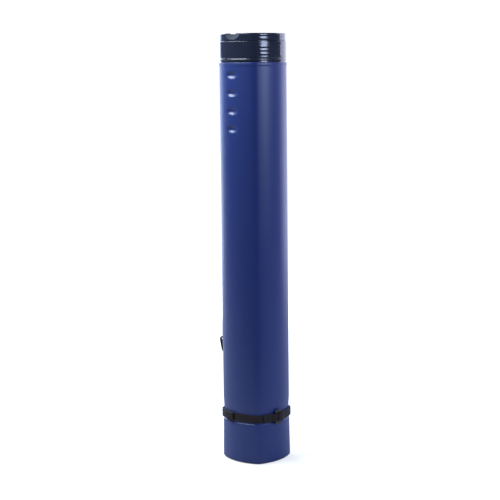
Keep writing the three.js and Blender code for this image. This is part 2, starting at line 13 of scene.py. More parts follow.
import bpy
import numpy as np
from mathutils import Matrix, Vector


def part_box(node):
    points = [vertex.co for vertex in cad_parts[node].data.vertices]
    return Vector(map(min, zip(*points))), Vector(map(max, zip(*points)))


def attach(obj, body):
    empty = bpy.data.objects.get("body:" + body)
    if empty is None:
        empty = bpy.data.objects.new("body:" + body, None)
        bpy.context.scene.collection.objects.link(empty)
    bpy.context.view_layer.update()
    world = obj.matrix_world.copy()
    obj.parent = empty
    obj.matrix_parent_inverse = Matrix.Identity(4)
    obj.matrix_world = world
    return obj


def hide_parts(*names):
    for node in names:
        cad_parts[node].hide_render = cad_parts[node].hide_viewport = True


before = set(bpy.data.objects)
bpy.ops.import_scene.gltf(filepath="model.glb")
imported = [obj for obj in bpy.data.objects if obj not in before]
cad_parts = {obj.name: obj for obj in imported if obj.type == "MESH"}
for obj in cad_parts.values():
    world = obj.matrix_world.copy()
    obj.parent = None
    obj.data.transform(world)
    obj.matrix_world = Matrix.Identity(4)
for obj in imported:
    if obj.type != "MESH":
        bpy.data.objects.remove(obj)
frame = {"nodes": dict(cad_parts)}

Array = np.ndarray
Triple = Sequence[float]
Placer = Callable[[Array, Array], tuple[Array, Array, Array, Array]]
MM = 0.001
QUARTER = np.pi / 2
CLEARANCE = 0.3
WHITE = (1.0, 1.0, 1.0, 1.0)
SHARP_ANGLE = np.radians(38)
log = logging.getLogger("poster_tube")


class Body(str, Enum):
    """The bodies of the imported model."""

    OUTER = "outer"
    INNER = "inner"
    LID = "lid"


class Slot(str, Enum):
    """The material slots of the record."""

    NAVY = "navy_plastic"
    INNER = "inner_plastic"
    BLACK = "black_plastic"
    WEBBING = "webbing"
    HARDWARE = "hardware"


class Join(str, Enum):
    """How one object is combined with another."""

    ADD = "UNION"
    CUT = "DIFFERENCE"


def soft_step(x: Array, start: float, end: float) -> Array:
    """A step that eases in and out: with t running from 0 at start to 1 at end, it is 3t² - 2t³.

    Args:
        x: Where the step is read.
        start: Where it leaves 0.
        end: Where it reaches 1.

    Returns:
        The step's height at each x.
    """
    t = np.clip((x - start) / (end - start), 0, 1)
    return t * t * (3 - 2 * t)


def arc(centre: Sequence[float], radius: float, start: float, end: float, count: int) -> Array:
    """Points of a flat arc: centre + radius (cos t, sin t), with t from start to end.

    Args:
        centre: The arc's centre.
        radius: Its radius.
        start: Its first angle.
        end: Its last angle.
        count: How many points it has.

    Returns:
        The points, count x 2.
    """
    t = np.linspace(start, end, count)
    return np.asarray(centre) + radius * np.stack([np.cos(t), np.sin(t)], -1)


def wrapped(angle: Array) -> Array:
    """The same angles between -pi and pi."""
    return (angle + np.pi) % (2 * np.pi) - np.pi


def stretches(*parts: tuple[float, float, int]) -> Array:
    """Even heights over several stretches, each given as its start, its end and its rows."""
    return np.concatenate([np.linspace(start, end, rows) for start, end, rows in parts])


def straight_wall(inset: float, heights: Array) -> Array:
    """A straight wall's profile: the same inset at every height."""
    return np.stack([np.full(len(heights), inset), heights], -1)


def length_along(line: Array) -> Array:
    """The length from a line's start to each of its points."""
    steps = np.linalg.norm(np.diff(line, axis=0), axis=1)
    return np.concatenate([[0], np.cumsum(steps)])


def raised(flat: Array, heights: Array) -> Array:
    """Flat outlines lifted to their heights.

    Args:
        flat: Rows x columns x 2.
        heights: One height for each row.

    Returns:
        The points, rows x columns x 3.
    """
    lifted = np.broadcast_to(heights[:, None, None], (*flat.shape[:2], 1))
    return np.concatenate([flat, lifted], -1)


def box_mm(node: str) -> tuple[Array, Array]:
    """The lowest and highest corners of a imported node, in millimetres.

    Args:
        node: The node's name.

    Returns:
        The two corners.
    """
    low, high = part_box(node)
    return np.array(low) / MM, np.array(high) / MM


@dataclass
class Shell:
    """Points in millimetres and the polygons between them, with a UV for each point if it has any."""

    points: Array
    quads: Array
    triangles: Array
    uv: Array | None = None

    @classmethod
    def grid(
        cls,
        points: Array,
        closed_rows: bool = False,
        closed_columns: bool = True,
        capped: bool = False,
        uv: Array | None = None,
    ) -> "Shell":
        """A surface over a grid of points. Faces point outwards where the columns run
        anticlockwise round an axis and the rows run up it.

        Args:
            points: Rows x columns x 3.
            closed_rows: The last row joins the first.
            closed_columns: The last column joins the first.
            capped: The first and last rows are closed by fans to their middles.
            uv: Rows x columns x 2.

        Returns:
            The shell.
        """
        rows, columns = points.shape[:2]
        i = np.arange(rows if closed_rows else rows - 1)[:, None]
        j = np.arange(columns if closed_columns else columns - 1)[None, :]
        next_i = (i + 1) % rows
        next_j = (j + 1) % columns
        corners = [i * columns + j, i * columns + next_j, next_i * columns + next_j, next_i * columns + j]
        quads = np.stack(corners, -1).reshape(-1, 4)
        flat = points.reshape(-1, 3)
        triangles = np.zeros((0, 3), int)
        if capped:
            middles = points[[0, -1]].mean(axis=1)
            around = np.arange(columns)
            after = (around + 1) % columns
            last = (rows - 1) * columns
            first_fan = np.stack([np.full(columns, rows * columns), after, around], -1)
            last_fan = np.stack([np.full(columns, rows * columns + 1), last + around, last + after], -1)
            flat = np.concatenate([flat, middles])
            triangles = np.concatenate([first_fan, last_fan])
        flat_uv = None if uv is None else uv.reshape(-1, 2)
        if capped and uv is not None:
            flat_uv = np.concatenate([flat_uv, uv[[0, -1]].mean(axis=1)])
        return cls(flat, quads, triangles, flat_uv)

    def __add__(self, other: "Shell") -> "Shell":
        """Both shells as one mesh.

        Args:
            other: The shell that is added.

        Returns:
            The joined shell, with a UV if both have one.
        """
        shift = len(self.points)
        uv = None
        if self.uv is not None and other.uv is not None:
            uv = np.concatenate([self.uv, other.uv])
        return Shell(
            np.concatenate([self.points, other.points]),
            np.concatenate([self.quads, other.quads + shift]),
            np.concatenate([self.triangles, other.triangles + shift]),
            uv,
        )

    def placed(self, x_axis: Triple, y_axis: Triple, z_axis: Triple, origin: Triple) -> "Shell":
        """The shell in another place: origin + x times x_axis + y times y_axis + z times z_axis.

        Args:
            x_axis: Where the shell's own X goes.
            y_axis: Where its Y goes.
            z_axis: Where its Z goes.
            origin: Where its origin goes.

        Returns:
            The placed shell.
        """
        turn = np.array([x_axis, y_axis, z_axis], float)
        return Shell(self.points @ turn + np.asarray(origin, float), self.quads, self.triangles, self.uv)

    def to_object(self, name: str) -> bpy.types.Object:
        """The shell as a smooth Blender object at the origin.

        Args:
            name: The object's name.

        Returns:
            The object.
        """
        mesh = bpy.data.meshes.new(name)
        corners = np.concatenate([self.quads.ravel(), self.triangles.ravel()])
        sizes = np.concatenate([np.full(len(self.quads), 4), np.full(len(self.triangles), 3)])
        starts = np.concatenate([[0], np.cumsum(sizes)[:-1]])
        mesh.vertices.add(len(self.points))
        mesh.vertices.foreach_set("co", (self.points * MM).astype(np.float32).ravel())
        mesh.loops.add(len(corners))
        mesh.loops.foreach_set("vertex_index", corners.astype(np.int32))
        mesh.polygons.add(len(sizes))
        mesh.polygons.foreach_set("loop_start", starts.astype(np.int32))
        mesh.update(calc_edges=True)
        if self.uv is not None:
            layer = mesh.uv_layers.new(name="weave")
            layer.data.foreach_set("uv", self.uv[corners].astype(np.float32).ravel())
        mesh.shade_smooth()
        mesh.set_sharp_from_angle(angle=SHARP_ANGLE)
        made = bpy.data.objects.new(name, mesh)
        bpy.context.scene.collection.objects.link(made)
        return made


def combined(base: bpy.types.Object, tool: bpy.types.Object, join: Join) -> bpy.types.Object:
    """Joins or cuts one object by another with the exact solver, and removes the tool.

    Args:
        base: The object that stays.
        tool: The object that is added or taken away.
        join: Whether the tool is added or cuts.

    Returns:
        The base with its new mesh.
    """
    modifier = base.modifiers.new("joined", "BOOLEAN")
    modifier.operation = join.value
    modifier.solver = "EXACT"
    modifier.object = tool
    graph = bpy.context.evaluated_depsgraph_get()
    mesh = bpy.data.meshes.new_from_object(base.evaluated_get(graph))
    base.modifiers.clear()
    base.data = mesh
    bpy.data.objects.remove(tool)
    mesh.shade_smooth()
    mesh.set_sharp_from_angle(angle=SHARP_ANGLE)
    return base


def enter(
    piece: bpy.types.Object,
    body: Body,
    material: bpy.types.Material,
    nodes: Sequence[str] = (),
) -> None:
    """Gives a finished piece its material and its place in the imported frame.

    Args:
        piece: The finished object.
        body: The body that it rides on.
        material: Its finish.
        nodes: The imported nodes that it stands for.
    """
    piece.data.materials.clear()
    piece.data.materials.append(material)
    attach(piece, body.value)
    if nodes:
        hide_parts(*nodes)
    log.info("%s on %s, %d polygons", piece.name, body.value, len(piece.data.polygons))


@dataclass(frozen=True)
class Section:
    """The tube's section: four bowed sides joined by rounded corners."""

    across_flats: float = 91.0
    side_radius: float = 72.3
    corner_radius: float = 17.0
    deepest_inset: float = 14.0

    @property
    def half_flats(self) -> float:
        """From the axis to the middle of a side."""
        return self.across_flats / 2

    @property
    def side_shift(self) -> float:
        """How far a side's centre lies beyond the axis."""
        return self.side_radius - self.half_flats

    @property
    def corner_centre(self) -> float:
        """Both coordinates of a corner's centre, where the corner touches its two sides."""
        gap = self.side_radius - self.corner_radius
        return (np.sqrt(2 * gap**2 - self.side_shift**2) - self.side_shift) / 2

    @property
    def side_half_angle(self) -> float:
        """Half of the angle that a side turns through."""
        return np.arctan2(self.corner_centre, self.corner_centre + self.side_shift)

    @property
    def quarter_length(self) -> float:
        """The outline's length from the middle of one side to the middle of the next."""
        corner_half = QUARTER / 2 - self.side_half_angle
        return 2 * (self.side_half_angle * self.side_radius + corner_half * self.corner_radius)

    @property
    def perimeter(self) -> float:
        """The whole outline's length."""
        return 4 * self.quarter_length

    def sag(self, aside: float) -> float:
        """How far a bowed side has fallen back at a distance from its middle: aside² / (2 radius)."""
        return aside**2 / (2 * self.side_radius)

    def point(self, direction: Array, stand_off: Array) -> Array:
        """Points of an outline parallel to the section: arc centre + (arc radius + stand_off)
        times the outward normal, whose angle is the direction.

        Args:
            direction: The outward normal's angle.
            stand_off: How far the outline is pushed out.

        Returns:
            The points, one x and y for each pair.
        """
        direction, stand_off = np.broadcast_arrays(direction, stand_off)
        face = np.round(direction / QUARTER) * QUARTER
        turn = direction - face
        on_side = np.abs(turn) <= self.side_half_angle
        radius = np.where(on_side, self.side_radius, self.corner_radius) + stand_off
        centre_x = np.where(on_side, -self.side_shift, self.corner_centre)
        centre_y = np.where(on_side, 0.0, np.sign(turn) * self.corner_centre)
        x = centre_x + radius * np.cos(turn)
        y = centre_y + radius * np.sin(turn)
        turned_x = x * np.cos(face) - y * np.sin(face)
        turned_y = x * np.sin(face) + y * np.cos(face)
        return np.stack([turned_x, turned_y], -1)

    def direction(self, length: Array) -> Array:
        """The outward normal's angle at a length along the outline, anticlockwise from the middle
        of the face at +X: a side turns by length / side radius, a corner by length / its radius.

        Args:
            length: The length along the outline.

        Returns:
            The angle for each length.
        """
        length = np.asarray(length, float)
        quarter = np.round(length / self.quarter_length)
        along = length - quarter * self.quarter_length
        side_half = self.side_half_angle * self.side_radius
        past = np.maximum(np.abs(along) - side_half, 0)
        turn = np.minimum(np.abs(along), side_half) / self.side_radius + past / self.corner_radius
        return quarter * QUARTER + np.sign(along) * turn

    def ring(self, count: int) -> Array:
        """Directions at equal lengths round the outline."""
        return self.direction(np.arange(count) * self.perimeter / count)

    def moulded(self, profile: Array, directions: Array, push: Array | float = 0.0) -> Array:
        """A moulded wall: each row of the grid is the section's outline at one point of the
        profile, pushed in by its inset and by push. An outline deeper than deepest_inset is that
        one scaled down, because a parallel one would cross itself.

        Args:
            profile: Rows x 2, the inset and the height.
            directions: The outward normals' angles, one for each column.
            push: A further inset, rows x columns.

        Returns:
            The grid of points.
        """
        inset = np.broadcast_to(profile[:, :1] + push, (len(profile), len(directions)))
        kept = np.minimum(inset, self.deepest_inset)
        scale = (self.half_flats - np.maximum(inset, kept)) / (self.half_flats - kept)
        flat = self.point(directions[None, :], -kept) * scale[..., None]
        return raised(flat, profile[:, 1])


@dataclass(frozen=True)
class Slab:
    """A flat plate with rounded corners and softened edges."""

    width: float
    height: float
    thickness: float
    edge: float = 0.4
    steps: int = 9
    edge_rows: int = 5

    def outline(self, rounding: Array, inset: Array) -> Array:
        """A rounded rectangle by the angle of its normal: corner centre + (rounding - inset)
        times the normal. The corners of negative x and positive x can differ in rounding.

        Args:
            rounding: The roundings at negative and at positive x.
            inset: How far the outline is drawn in.

        Returns:
            The points, one row for each inset.
        """
        quarters = [np.linspace(k * QUARTER, (k + 1) * QUARTER, self.steps) for k in range(4)]
        angle = np.concatenate(quarters)
        side_x = np.repeat([1, -1, -1, 1], self.steps)
        side_y = np.repeat([1, 1, -1, -1], self.steps)
        radius = np.where(side_x < 0, rounding[0], rounding[1])
        centre_x = side_x * (self.width / 2 - radius)
        centre_y = side_y * (self.height / 2 - radius)
        reach = radius[None, :] - np.asarray(inset)[:, None]
        return np.stack([centre_x + reach * np.cos(angle), centre_y + reach * np.sin(angle)], -1)

    def shell(self, rounding: tuple[float, float]) -> Shell:
        """The plate as a closed shell in the plane of X and Y, centred on the origin: its edge is
        a quarter round at both faces.

        Args:
            rounding: The roundings at negative and at positive x.

        Returns:
            The shell.
        """
        edge_middle = (self.edge, self.edge - self.thickness / 2)
        lower = arc(edge_middle, self.edge, -QUARTER, -np.pi, self.edge_rows)
        profile = np.concatenate([lower, lower[::-1] * (1, -1)])
        flat = self.outline(np.asarray(rounding), profile[:, 0])
        return Shell.grid(raised(flat, profile[:, 1]), capped=True)


def round_bar(
    length: float, width: float, depth: float, power: float = 2.6, sides: int = 24, rows: int = 9
) -> Shell:
    """A bar along Y whose section is a superellipse: (width/2 c, depth/2 s), with c and s the
    cosine and sine raised to 2/power with their signs kept.

    Args:
        length: Its length.
        width: Its size along X.
        depth: Its size along Z.
        power: The superellipse's power.
        sides: How many sides its section has.
        rows: How many sections it has.

    Returns:
        The closed shell, centred on the origin.
    """
    angle = np.linspace(0, 2 * np.pi, sides, endpoint=False)
    x = width / 2 * np.sign(np.cos(angle)) * np.abs(np.cos(angle)) ** (2 / power)
    z = depth / 2 * np.sign(np.sin(angle)) * np.abs(np.sin(angle)) ** (2 / power)
    along = np.linspace(length / 2, -length / 2, rows)[:, None]
    return Shell.grid(np.stack(np.broadcast_arrays(x, along, z), -1), capped=True)


@dataclass(frozen=True)
class SlottedFrame:
    """A moulded frame with two slots round a middle bar, as on a webbing buckle or slider."""

    bar: float
    slot: float
    cheek: float
    rounding: float
    thickness: float
    opening: float
    edge: float = 0.5
    edge_flat: float = 0.15
    edge_rows: int = 6

    @property
    def pitch(self) -> float:
        """From the middle of one bar to the next."""
        return self.bar + self.slot

    @property
    def bar_reach(self) -> float:
        """From a bar's middle to its corners."""
        return np.hypot(self.bar, self.thickness) / 2

    @property
    def width(self) -> float:
        """Across the three bars."""
        return 3 * self.bar + 2 * self.slot

    @property
    def height(self) -> float:
        """Along the bars, over both cheeks."""
        return self.opening + 2 * self.cheek

    def rim(self) -> Shell:
        """The frame round both slots: at each angle a rounded section runs from the inner
        outline to the outer one, as inner + u (outer - inner), with the plate's thickness.

        Returns:
            The closed ring.
        """
        outer_plate = Slab(self.width, self.height, self.thickness)
        inner_plate = Slab(self.width - 2 * self.bar, self.opening, self.thickness)
        outer = outer_plate.outline(np.array([self.rounding] * 2), np.zeros(1))[0]
        inner = inner_plate.outline(np.array([self.edge] * 2), np.zeros(1))[0]
        span = outer - inner
        reach = np.linalg.norm(span, axis=-1)
        half = self.thickness / 2
        corner = half - self.edge_flat
        quarters = [
            arc((-corner, corner - half), corner, -QUARTER, 0, self.edge_rows),
            arc((-corner, half - corner), corner, 0, QUARTER, self.edge_rows),
        ]
        outside = np.concatenate(quarters)
        inside = outside[::-1] * (-1, 1)
        offset = np.concatenate([outside, inside])
        at_outer = np.repeat([1.0, 0.0], len(outside))
        share = at_outer[:, None] + offset[:, :1] / reach[None, :]
        flat = inner[None] + share[..., None] * span[None]
        return Shell.grid(raised(flat, offset[:, 1]), closed_rows=True)

    def build(self, name: str, axes: Sequence[Triple], origin: Triple) -> bpy.types.Object:
        """The frame with its middle bar, put in its place.

        Args:
            name: The piece's name.
            axes: Where the frame's X, Y and Z go.
            origin: Where its middle goes.

        Returns:
            The object.
        """
        middle = round_bar(self.opening + 2 * self.edge, self.bar, self.thickness)
        whole = self.rim().placed(*axes, origin).to_object(name)
        return combined(whole, middle.placed(*axes, origin).to_object("middle_bar"), Join.ADD)


class Trail:
    """A flat path of lines, arcs and free curves, as points close together."""

    LINE_POINTS: int = 40
    CURVE_POINTS: int = 80
    ARC_POINTS: int = 32
    SAME_POINT: float = 1e-6

    def __init__(self, start: Sequence[float]) -> None:
        """Starts the path at a point."""
        self.parts: list[Array] = [np.array([start], float)]

    @property
    def end(self) -> Array:
        """The last point."""
        return self.parts[-1][-1]

    def line(self, to: Sequence[float]) -> "Trail":
        """A straight run to a point.

        Args:
            to: The run's end.

        Returns:
            The path itself.
        """
        share = np.linspace(0, 1, self.LINE_POINTS)[1:, None]
        self.parts.append(self.end + share * (np.asarray(to) - self.end))
        return self

    def curve(self, first: Sequence[float], second: Sequence[float], to: Sequence[float]) -> "Trail":
        """A cubic curve: (1-t)³a + 3(1-t)²t b + 3(1-t)t² c + t³d, from the last point a to d.

        Args:
            first: The control point b.
            second: The control point c.
            to: The end d.

        Returns:
            The path itself.
        """
        t = np.linspace(0, 1, self.CURVE_POINTS)[1:, None]
        b, c, d = (np.asarray(p, float) for p in (first, second, to))
        a = self.end
        self.parts.append((1 - t) ** 3 * a + 3 * (1 - t) ** 2 * t * b + 3 * (1 - t) * t**2 * c + t**3 * d)
        return self

    def turn(self, centre: Sequence[float], radius: float, start: float, end: float) -> "Trail":
        """An arc round a centre, from one angle to another."""
        self.parts.append(arc(centre, radius, start, end, self.ARC_POINTS))
        return self

    def points(self, step: float) -> Array:
        """The path's points at about equal steps of its length.

        Args:
            step: The step's length.

        Returns:
            The points.
        """
        raw = np.concatenate(self.parts)
        gaps = np.linalg.norm(np.diff(raw, axis=0), axis=1)
        raw = raw[np.concatenate([[True], gaps > self.SAME_POINT])]
        length = length_along(raw)
        even = np.linspace(0, length[-1], int(np.ceil(length[-1] / step)) + 1)
        return np.stack([np.interp(even, length, raw[:, k]) for k in range(2)], -1)


@dataclass(frozen=True)
class Webbing:
    """Flat woven webbing."""

    width: float = 12.0
    thickness: float = 1.3
    selvedge: float = 0.5
    crown: float = 0.06
    face_points: int = 13
    edge_points: int = 7

    @property
    def layer_step(self) -> float:
        """From one layer to the next one lying on it."""
        return self.thickness + CLEARANCE

    def section(self) -> Array:
        """The closed section, as [across, out]: two faces that are a little crowned in the middle,
        joined by half-round edges that thin down to the selvedge.

        Returns:
            The points, anticlockwise.
        """
        half = self.width / 2 - self.selvedge
        across = np.linspace(-half, half, self.face_points)
        face = self.thickness / 2 - self.crown * (across / half) ** 4
        side = face[-1]
        turn = np.linspace(-QUARTER, QUARTER, self.edge_points)[1:-1]
        right = np.stack([half + self.selvedge * np.cos(turn), side * np.sin(turn)], -1)
        lower = np.stack([across, -face], -1)
        upper = np.stack([across, face], -1)
        return np.concatenate([lower, right, upper[::-1], right[::-1] * (-1, 1)])

    def strip(self, line: Array, across: Sequence[float]) -> Shell:
        """The webbing carried along a line: line point + a across + n out, for each [a, n] of the
        section, where out is the line's own normal.

        Args:
            line: The middle line's points.
            across: The direction of the webbing's width.

        Returns:
            The closed strip, with a UV of its length and width.
        """
        along = np.gradient(line, axis=0)
        along /= np.linalg.norm(along, axis=1, keepdims=True)
        wide = np.asarray(across, float)
        out = np.cross(wide, along)
        section = self.section()
        a = section[None, :, :1]
        n = section[None, :, 1:]
        points = line[:, None, :] + a * wide + n * out[:, None, :]
        uv = np.stack(np.broadcast_arrays(length_along(line)[:, None], section[None, :, 0]), -1)
        return Shell.grid(points, capped=True, uv=uv)


@dataclass(frozen=True)
class Stitching:
    """Rows of sewing thread lying on webbing."""

    length: float = 1.9
    thickness: float = 0.5
    pitch: float = 2.5
    margin: float = 1.8
    rise: float = 0.02
    tip_angle: float = 0.35
    sides: int = 6

    def row(self, start: Sequence[float], end: Sequence[float]) -> Array:
        """Middles and directions of the stitches from start to end, in [along, across].

        Args:
            start: The row's start.
            end: The row's end.

        Returns:
            The stitches, one row of middle and direction each.
        """
        span = np.asarray(end, float) - np.asarray(start, float)
        reach = np.linalg.norm(span)
        count = max(int(round(reach / self.pitch)), 1)
        share = (np.arange(count) + 0.5) / count
        middles = np.asarray(start) + share[:, None] * span
        return np.concatenate([middles, np.broadcast_to(span / reach, middles.shape)], -1)

    def box(self, low: Sequence[float], high: Sequence[float]) -> Array:
        """A box of stitches with its cross, in [along, across].

        Args:
            low: The box's lowest corner.
            high: Its highest corner.

        Returns:
            The stitches.
        """
        corners = np.array([(low[0], low[1]), (high[0], low[1]), (high[0], high[1]), (low[0], high[1])])
        ends = [(0, 1), (1, 2), (2, 3), (3, 0), (0, 2), (1, 3)]
        return np.concatenate([self.row(corners[a], corners[b]) for a, b in ends])

    def thread(self, stitches: Array, place: Placer, webbing: Webbing) -> Shell:
        """Each stitch as a long ellipsoid: (length/2 cos u, thickness/2 sin u cos v, thickness/2
        sin u sin v) in its own axes, with its middle just over the webbing's face.

        Args:
            stitches: Middles and directions in [along, across].
            place: Turns along and across into a point, an along axis, an across axis and a normal.
            webbing: What the thread lies on.

        Returns:
            All the stitches as one shell.
        """
        u = np.linspace(self.tip_angle, np.pi - self.tip_angle, self.sides)[:, None]
        v = np.linspace(0, 2 * np.pi, self.sides, endpoint=False)[None, :]
        lengthwise = -self.length / 2 * np.cos(u)
        sidewise = self.thickness / 2 * np.sin(u) * np.cos(v)
        upwards = self.thickness / 2 * np.sin(u) * np.sin(v)
        stitch = Shell.grid(np.stack(np.broadcast_arrays(lengthwise, sidewise, upwards), -1), capped=True)
        middle, along, across, normal = place(stitches[:, 0], stitches[:, 1])
        ahead = stitches[:, 2:3] * along + stitches[:, 3:] * across
        aside = np.cross(normal, ahead)
        origins = middle + (webbing.thickness / 2 + self.rise) * normal
        placed = [stitch.placed(*own) for own in zip(ahead, aside, normal, origins)]
        return sum(placed[1:], placed[0])


@dataclass(frozen=True)
class GripRibs:
    """Low level ribs moulded into the cap beside its front corner: a plain grip."""

    height: float = 0.34
    pitch: float = 5.2
    start: float = -31.0
    end: float = 15.0
    fade: float = 2.5

    def push(self, section: Section, directions: Array, heights: Array, low: float, high: float) -> Array:
        """The ribs' relief: height times sin²(pi (z - low) / pitch) between low and high, eased
        off at both ends along the face at +X.

        Args:
            section: The tube's section.
            directions: The columns' directions.
            heights: The rows' heights.
            low: Where the ribs start.
            high: Where they end.

        Returns:
            How far the wall is pushed in, which is negative on a rib.
        """
        along = wrapped(directions) * section.side_radius
        ends = soft_step(along, self.start, self.start + self.fade)
        ends = ends * (1 - soft_step(along, self.end - self.fade, self.end))
        count = np.floor((high - low) / self.pitch)
        inside = (heights > low) & (heights < low + count * self.pitch)
        wave = np.sin(np.pi * (heights - low) / self.pitch) ** 2 * inside
        return -self.height * wave[:, None] * ends[None, :]


@dataclass(frozen=True)
class OuterTube:
    """The navy tube: its foot, belt seat, neck, dimples and mouth."""

    section: Section
    mouth: float
    seat_bottom: float
    seat_top: float
    wall: float = 1.8
    base: float = 3.0
    foot_rounding: float = 4.5
    foot_flare: float = 1.0
    lip_flare: float = 0.2
    seat_depth: float = 0.9
    seat_ease: float = 1.6
    neck_length: float = 20.0
    rim_bead: float = 0.4
    rim_height: float = 5.0
    rim_rounding: float = 0.8
    dimple_count: int = 4
    dimple_pitch: float = 26.2
    top_dimple_drop: float = 17.8
    dimple_width: float = 24.0
    dimple_height: float = 12.0
    dimple_depth: float = 3.0
    dimple_flat: float = 0.1
    dimple_edge: float = 1.06
    bore_edge: float = 0.3
    edge_clear: float = 1.0
    row_step: float = 1.2
    bore_rows: int = 30
    columns: int = 288

    @property
    def lip(self) -> float:
        """Where the foot's flare ends, below the belt's seat."""
        return self.seat_bottom - self.seat_depth

    @property
    def bead_start(self) -> float:
        """Where the bead round the mouth starts."""
        return self.mouth - self.rim_height

    @property
    def pressed_from(self) -> float:
        """The height that no dimple reaches below."""
        return self.dimple_heights[-1] - self.dimple_height

    @property
    def dimple_heights(self) -> Array:
        """The heights of the dimples' middles, from the top one down."""
        return self.mouth - self.top_dimple_drop - np.arange(self.dimple_count) * self.dimple_pitch

    def outside_inset(self, height: Array) -> Array:
        """The outer wall's inset by height: the foot's flare eases into the belt's seat, the seat
        rises to the plain tube by half a cosine wave, and a bead stands round the mouth.

        Args:
            height: The heights.

        Returns:
            The insets.
        """
        flare_ends = [self.foot_rounding, self.lip]
        flare = np.interp(height, flare_ends, [-self.foot_flare, -self.lip_flare])
        into_seat = soft_step(height, self.lip, self.lip + self.seat_ease)
        foot = flare * (1 - into_seat) + self.seat_depth * into_seat
        share = np.clip((height - self.seat_top) / self.neck_length, 0, 1)
        neck = self.seat_depth * (1 + np.cos(np.pi * share)) / 2
        bead = self.rim_bead * soft_step(height, self.bead_start, self.bead_start + 2 * self.rim_bead)
        return np.where(height < self.seat_top, foot, neck) - bead

    def dimple_push(self, directions: Array, heights: Array, grown: float) -> Array:
        """How far the wall is pressed in: the depth times a soft step that falls from the middle
        of each ellipse to its edge.

        Args:
            directions: The columns' directions.
            heights: The rows' heights.
            grown: How much wider than the press mark the pressed ellipse is.

        Returns:
            The push, rows x columns.
        """
        aside = wrapped(directions + QUARTER) * self.section.side_radius
        aside = aside / (self.dimple_width / 2 + grown)
        push = np.zeros((len(heights), len(directions)))
        for middle in self.dimple_heights:
            up = (heights - middle) / (self.dimple_height / 2 + grown)
            reach = np.hypot(aside[None, :], up[:, None])
            pressed = 1 - soft_step(reach, self.dimple_flat, self.dimple_edge)
            push = np.maximum(push, self.dimple_depth * pressed)
        return push

    def outer_rows(self) -> Array:
        """The outer wall's profile, from the foot's rounding up and over the mouth. Its rows lie
        closer together where the wall bends and where the dimples are.

        Returns:
            The rows, each an inset and a height.
        """
        seat = self.lip + self.seat_ease
        neck_top = self.seat_top + self.neck_length
        bead_top = self.bead_start + 2 * self.rim_bead
        rim = self.mouth - self.rim_rounding
        even = stretches(
            (self.foot_rounding, self.lip, 10),
            (self.lip, seat, 9),
            (seat, self.seat_top, 5),
            (self.seat_top, neck_top, 17),
            (neck_top, self.pressed_from, 12),
            (self.bead_start, bead_top, 6),
            (bead_top + self.rim_bead, rim, 3),
        )
        pressed = np.arange(self.pressed_from, self.bead_start - self.edge_clear, self.row_step)
        up = np.unique(np.concatenate([even, pressed]))
        foot_middle = (self.foot_rounding - self.foot_flare, self.foot_rounding)
        foot = arc(foot_middle, self.foot_rounding, -QUARTER, -np.pi, count=10)
        outside = np.stack([self.outside_inset(up), up], -1)
        rim_middle = (self.rim_rounding - self.rim_bead, rim)
        over = arc(rim_middle, self.rim_rounding, np.pi, QUARTER, count=6)
        return np.concatenate([foot[:-1], outside, over[1:]])

    def inner_rows(self) -> Array:
        """The inner wall's profile, from the mouth's inner edge down to the floor's rounding.

        Returns:
            The rows, each an inset and a height.
        """
        edge_middle = (self.wall - self.bore_edge, self.mouth - self.bore_edge)
        edge = arc(edge_middle, self.bore_edge, QUARTER, 0, count=4)
        down = np.linspace(self.mouth - self.edge_clear, self.pressed_from, self.bore_rows)
        floor_middle = (self.wall + self.foot_rounding, self.base + self.foot_rounding)
        floor = arc(floor_middle, self.foot_rounding, np.pi, 3 * QUARTER, count=8)
        return np.concatenate([edge, straight_wall(self.wall, down), floor])

    def shell(self) -> Shell:
        """The whole wall, from the middle of the underside out, up, over the mouth and down inside.

        Returns:
            The closed shell.
        """
        outer = self.outer_rows()
        inner = self.inner_rows()
        directions = self.section.ring(self.columns)
        outer_push = self.dimple_push(directions, outer[:, 1], 0.0)
        inner_push = self.dimple_push(directions, inner[:, 1], self.wall)
        profile = np.concatenate([outer, inner])
        push = np.concatenate([outer_push, inner_push])
        return Shell.grid(self.section.moulded(profile, directions, push), capped=True)

    def build(self) -> bpy.types.Object:
        """The tube as an object."""
        return self.shell().to_object("tube_wall")


@dataclass(frozen=True)
class StrapLug:
    """Two rounded ears with a bar between them, moulded on the face at -X."""

    section: Section
    height: float
    strap_width: float
    bar_radius: float = 2.2
    bar_out: float = 6.5
    ear_thickness: float = 3.0
    ear_height: float = 20.0
    ear_out: float = 9.5
    ear_rounding: float = 4.0
    ear_edge: float = 0.7
    root_rounding: float = 0.75
    side_gap: float = 0.5
    root: float = 0.9

    def build(self) -> bpy.types.Object:
        """The lug as an object.

        Returns:
            The object.
        """
        ear_middle = (self.strap_width + self.ear_thickness) / 2 + self.side_gap
        depth = self.ear_out + self.root
        face = -self.section.half_flats
        ear_x = face + self.section.sag(ear_middle) + self.root - depth / 2
        bar = round_bar(2 * ear_middle, 2 * self.bar_radius, 2 * self.bar_radius, power=2.0)
        whole = bar.placed((1, 0, 0), (0, 1, 0), (0, 0, 1), (face - self.bar_out, 0, self.height))
        plate = Slab(depth, self.ear_height, self.ear_thickness, edge=self.ear_edge)
        ear = plate.shell((self.ear_rounding, self.root_rounding))
        for side in (-1, 1):
            ear_place = (ear_x, side * ear_middle, self.height)
            whole = whole + ear.placed((1, 0, 0), (0, 0, 1), (0, -1, 0), ear_place)
        return whole.to_object("strap_lug")


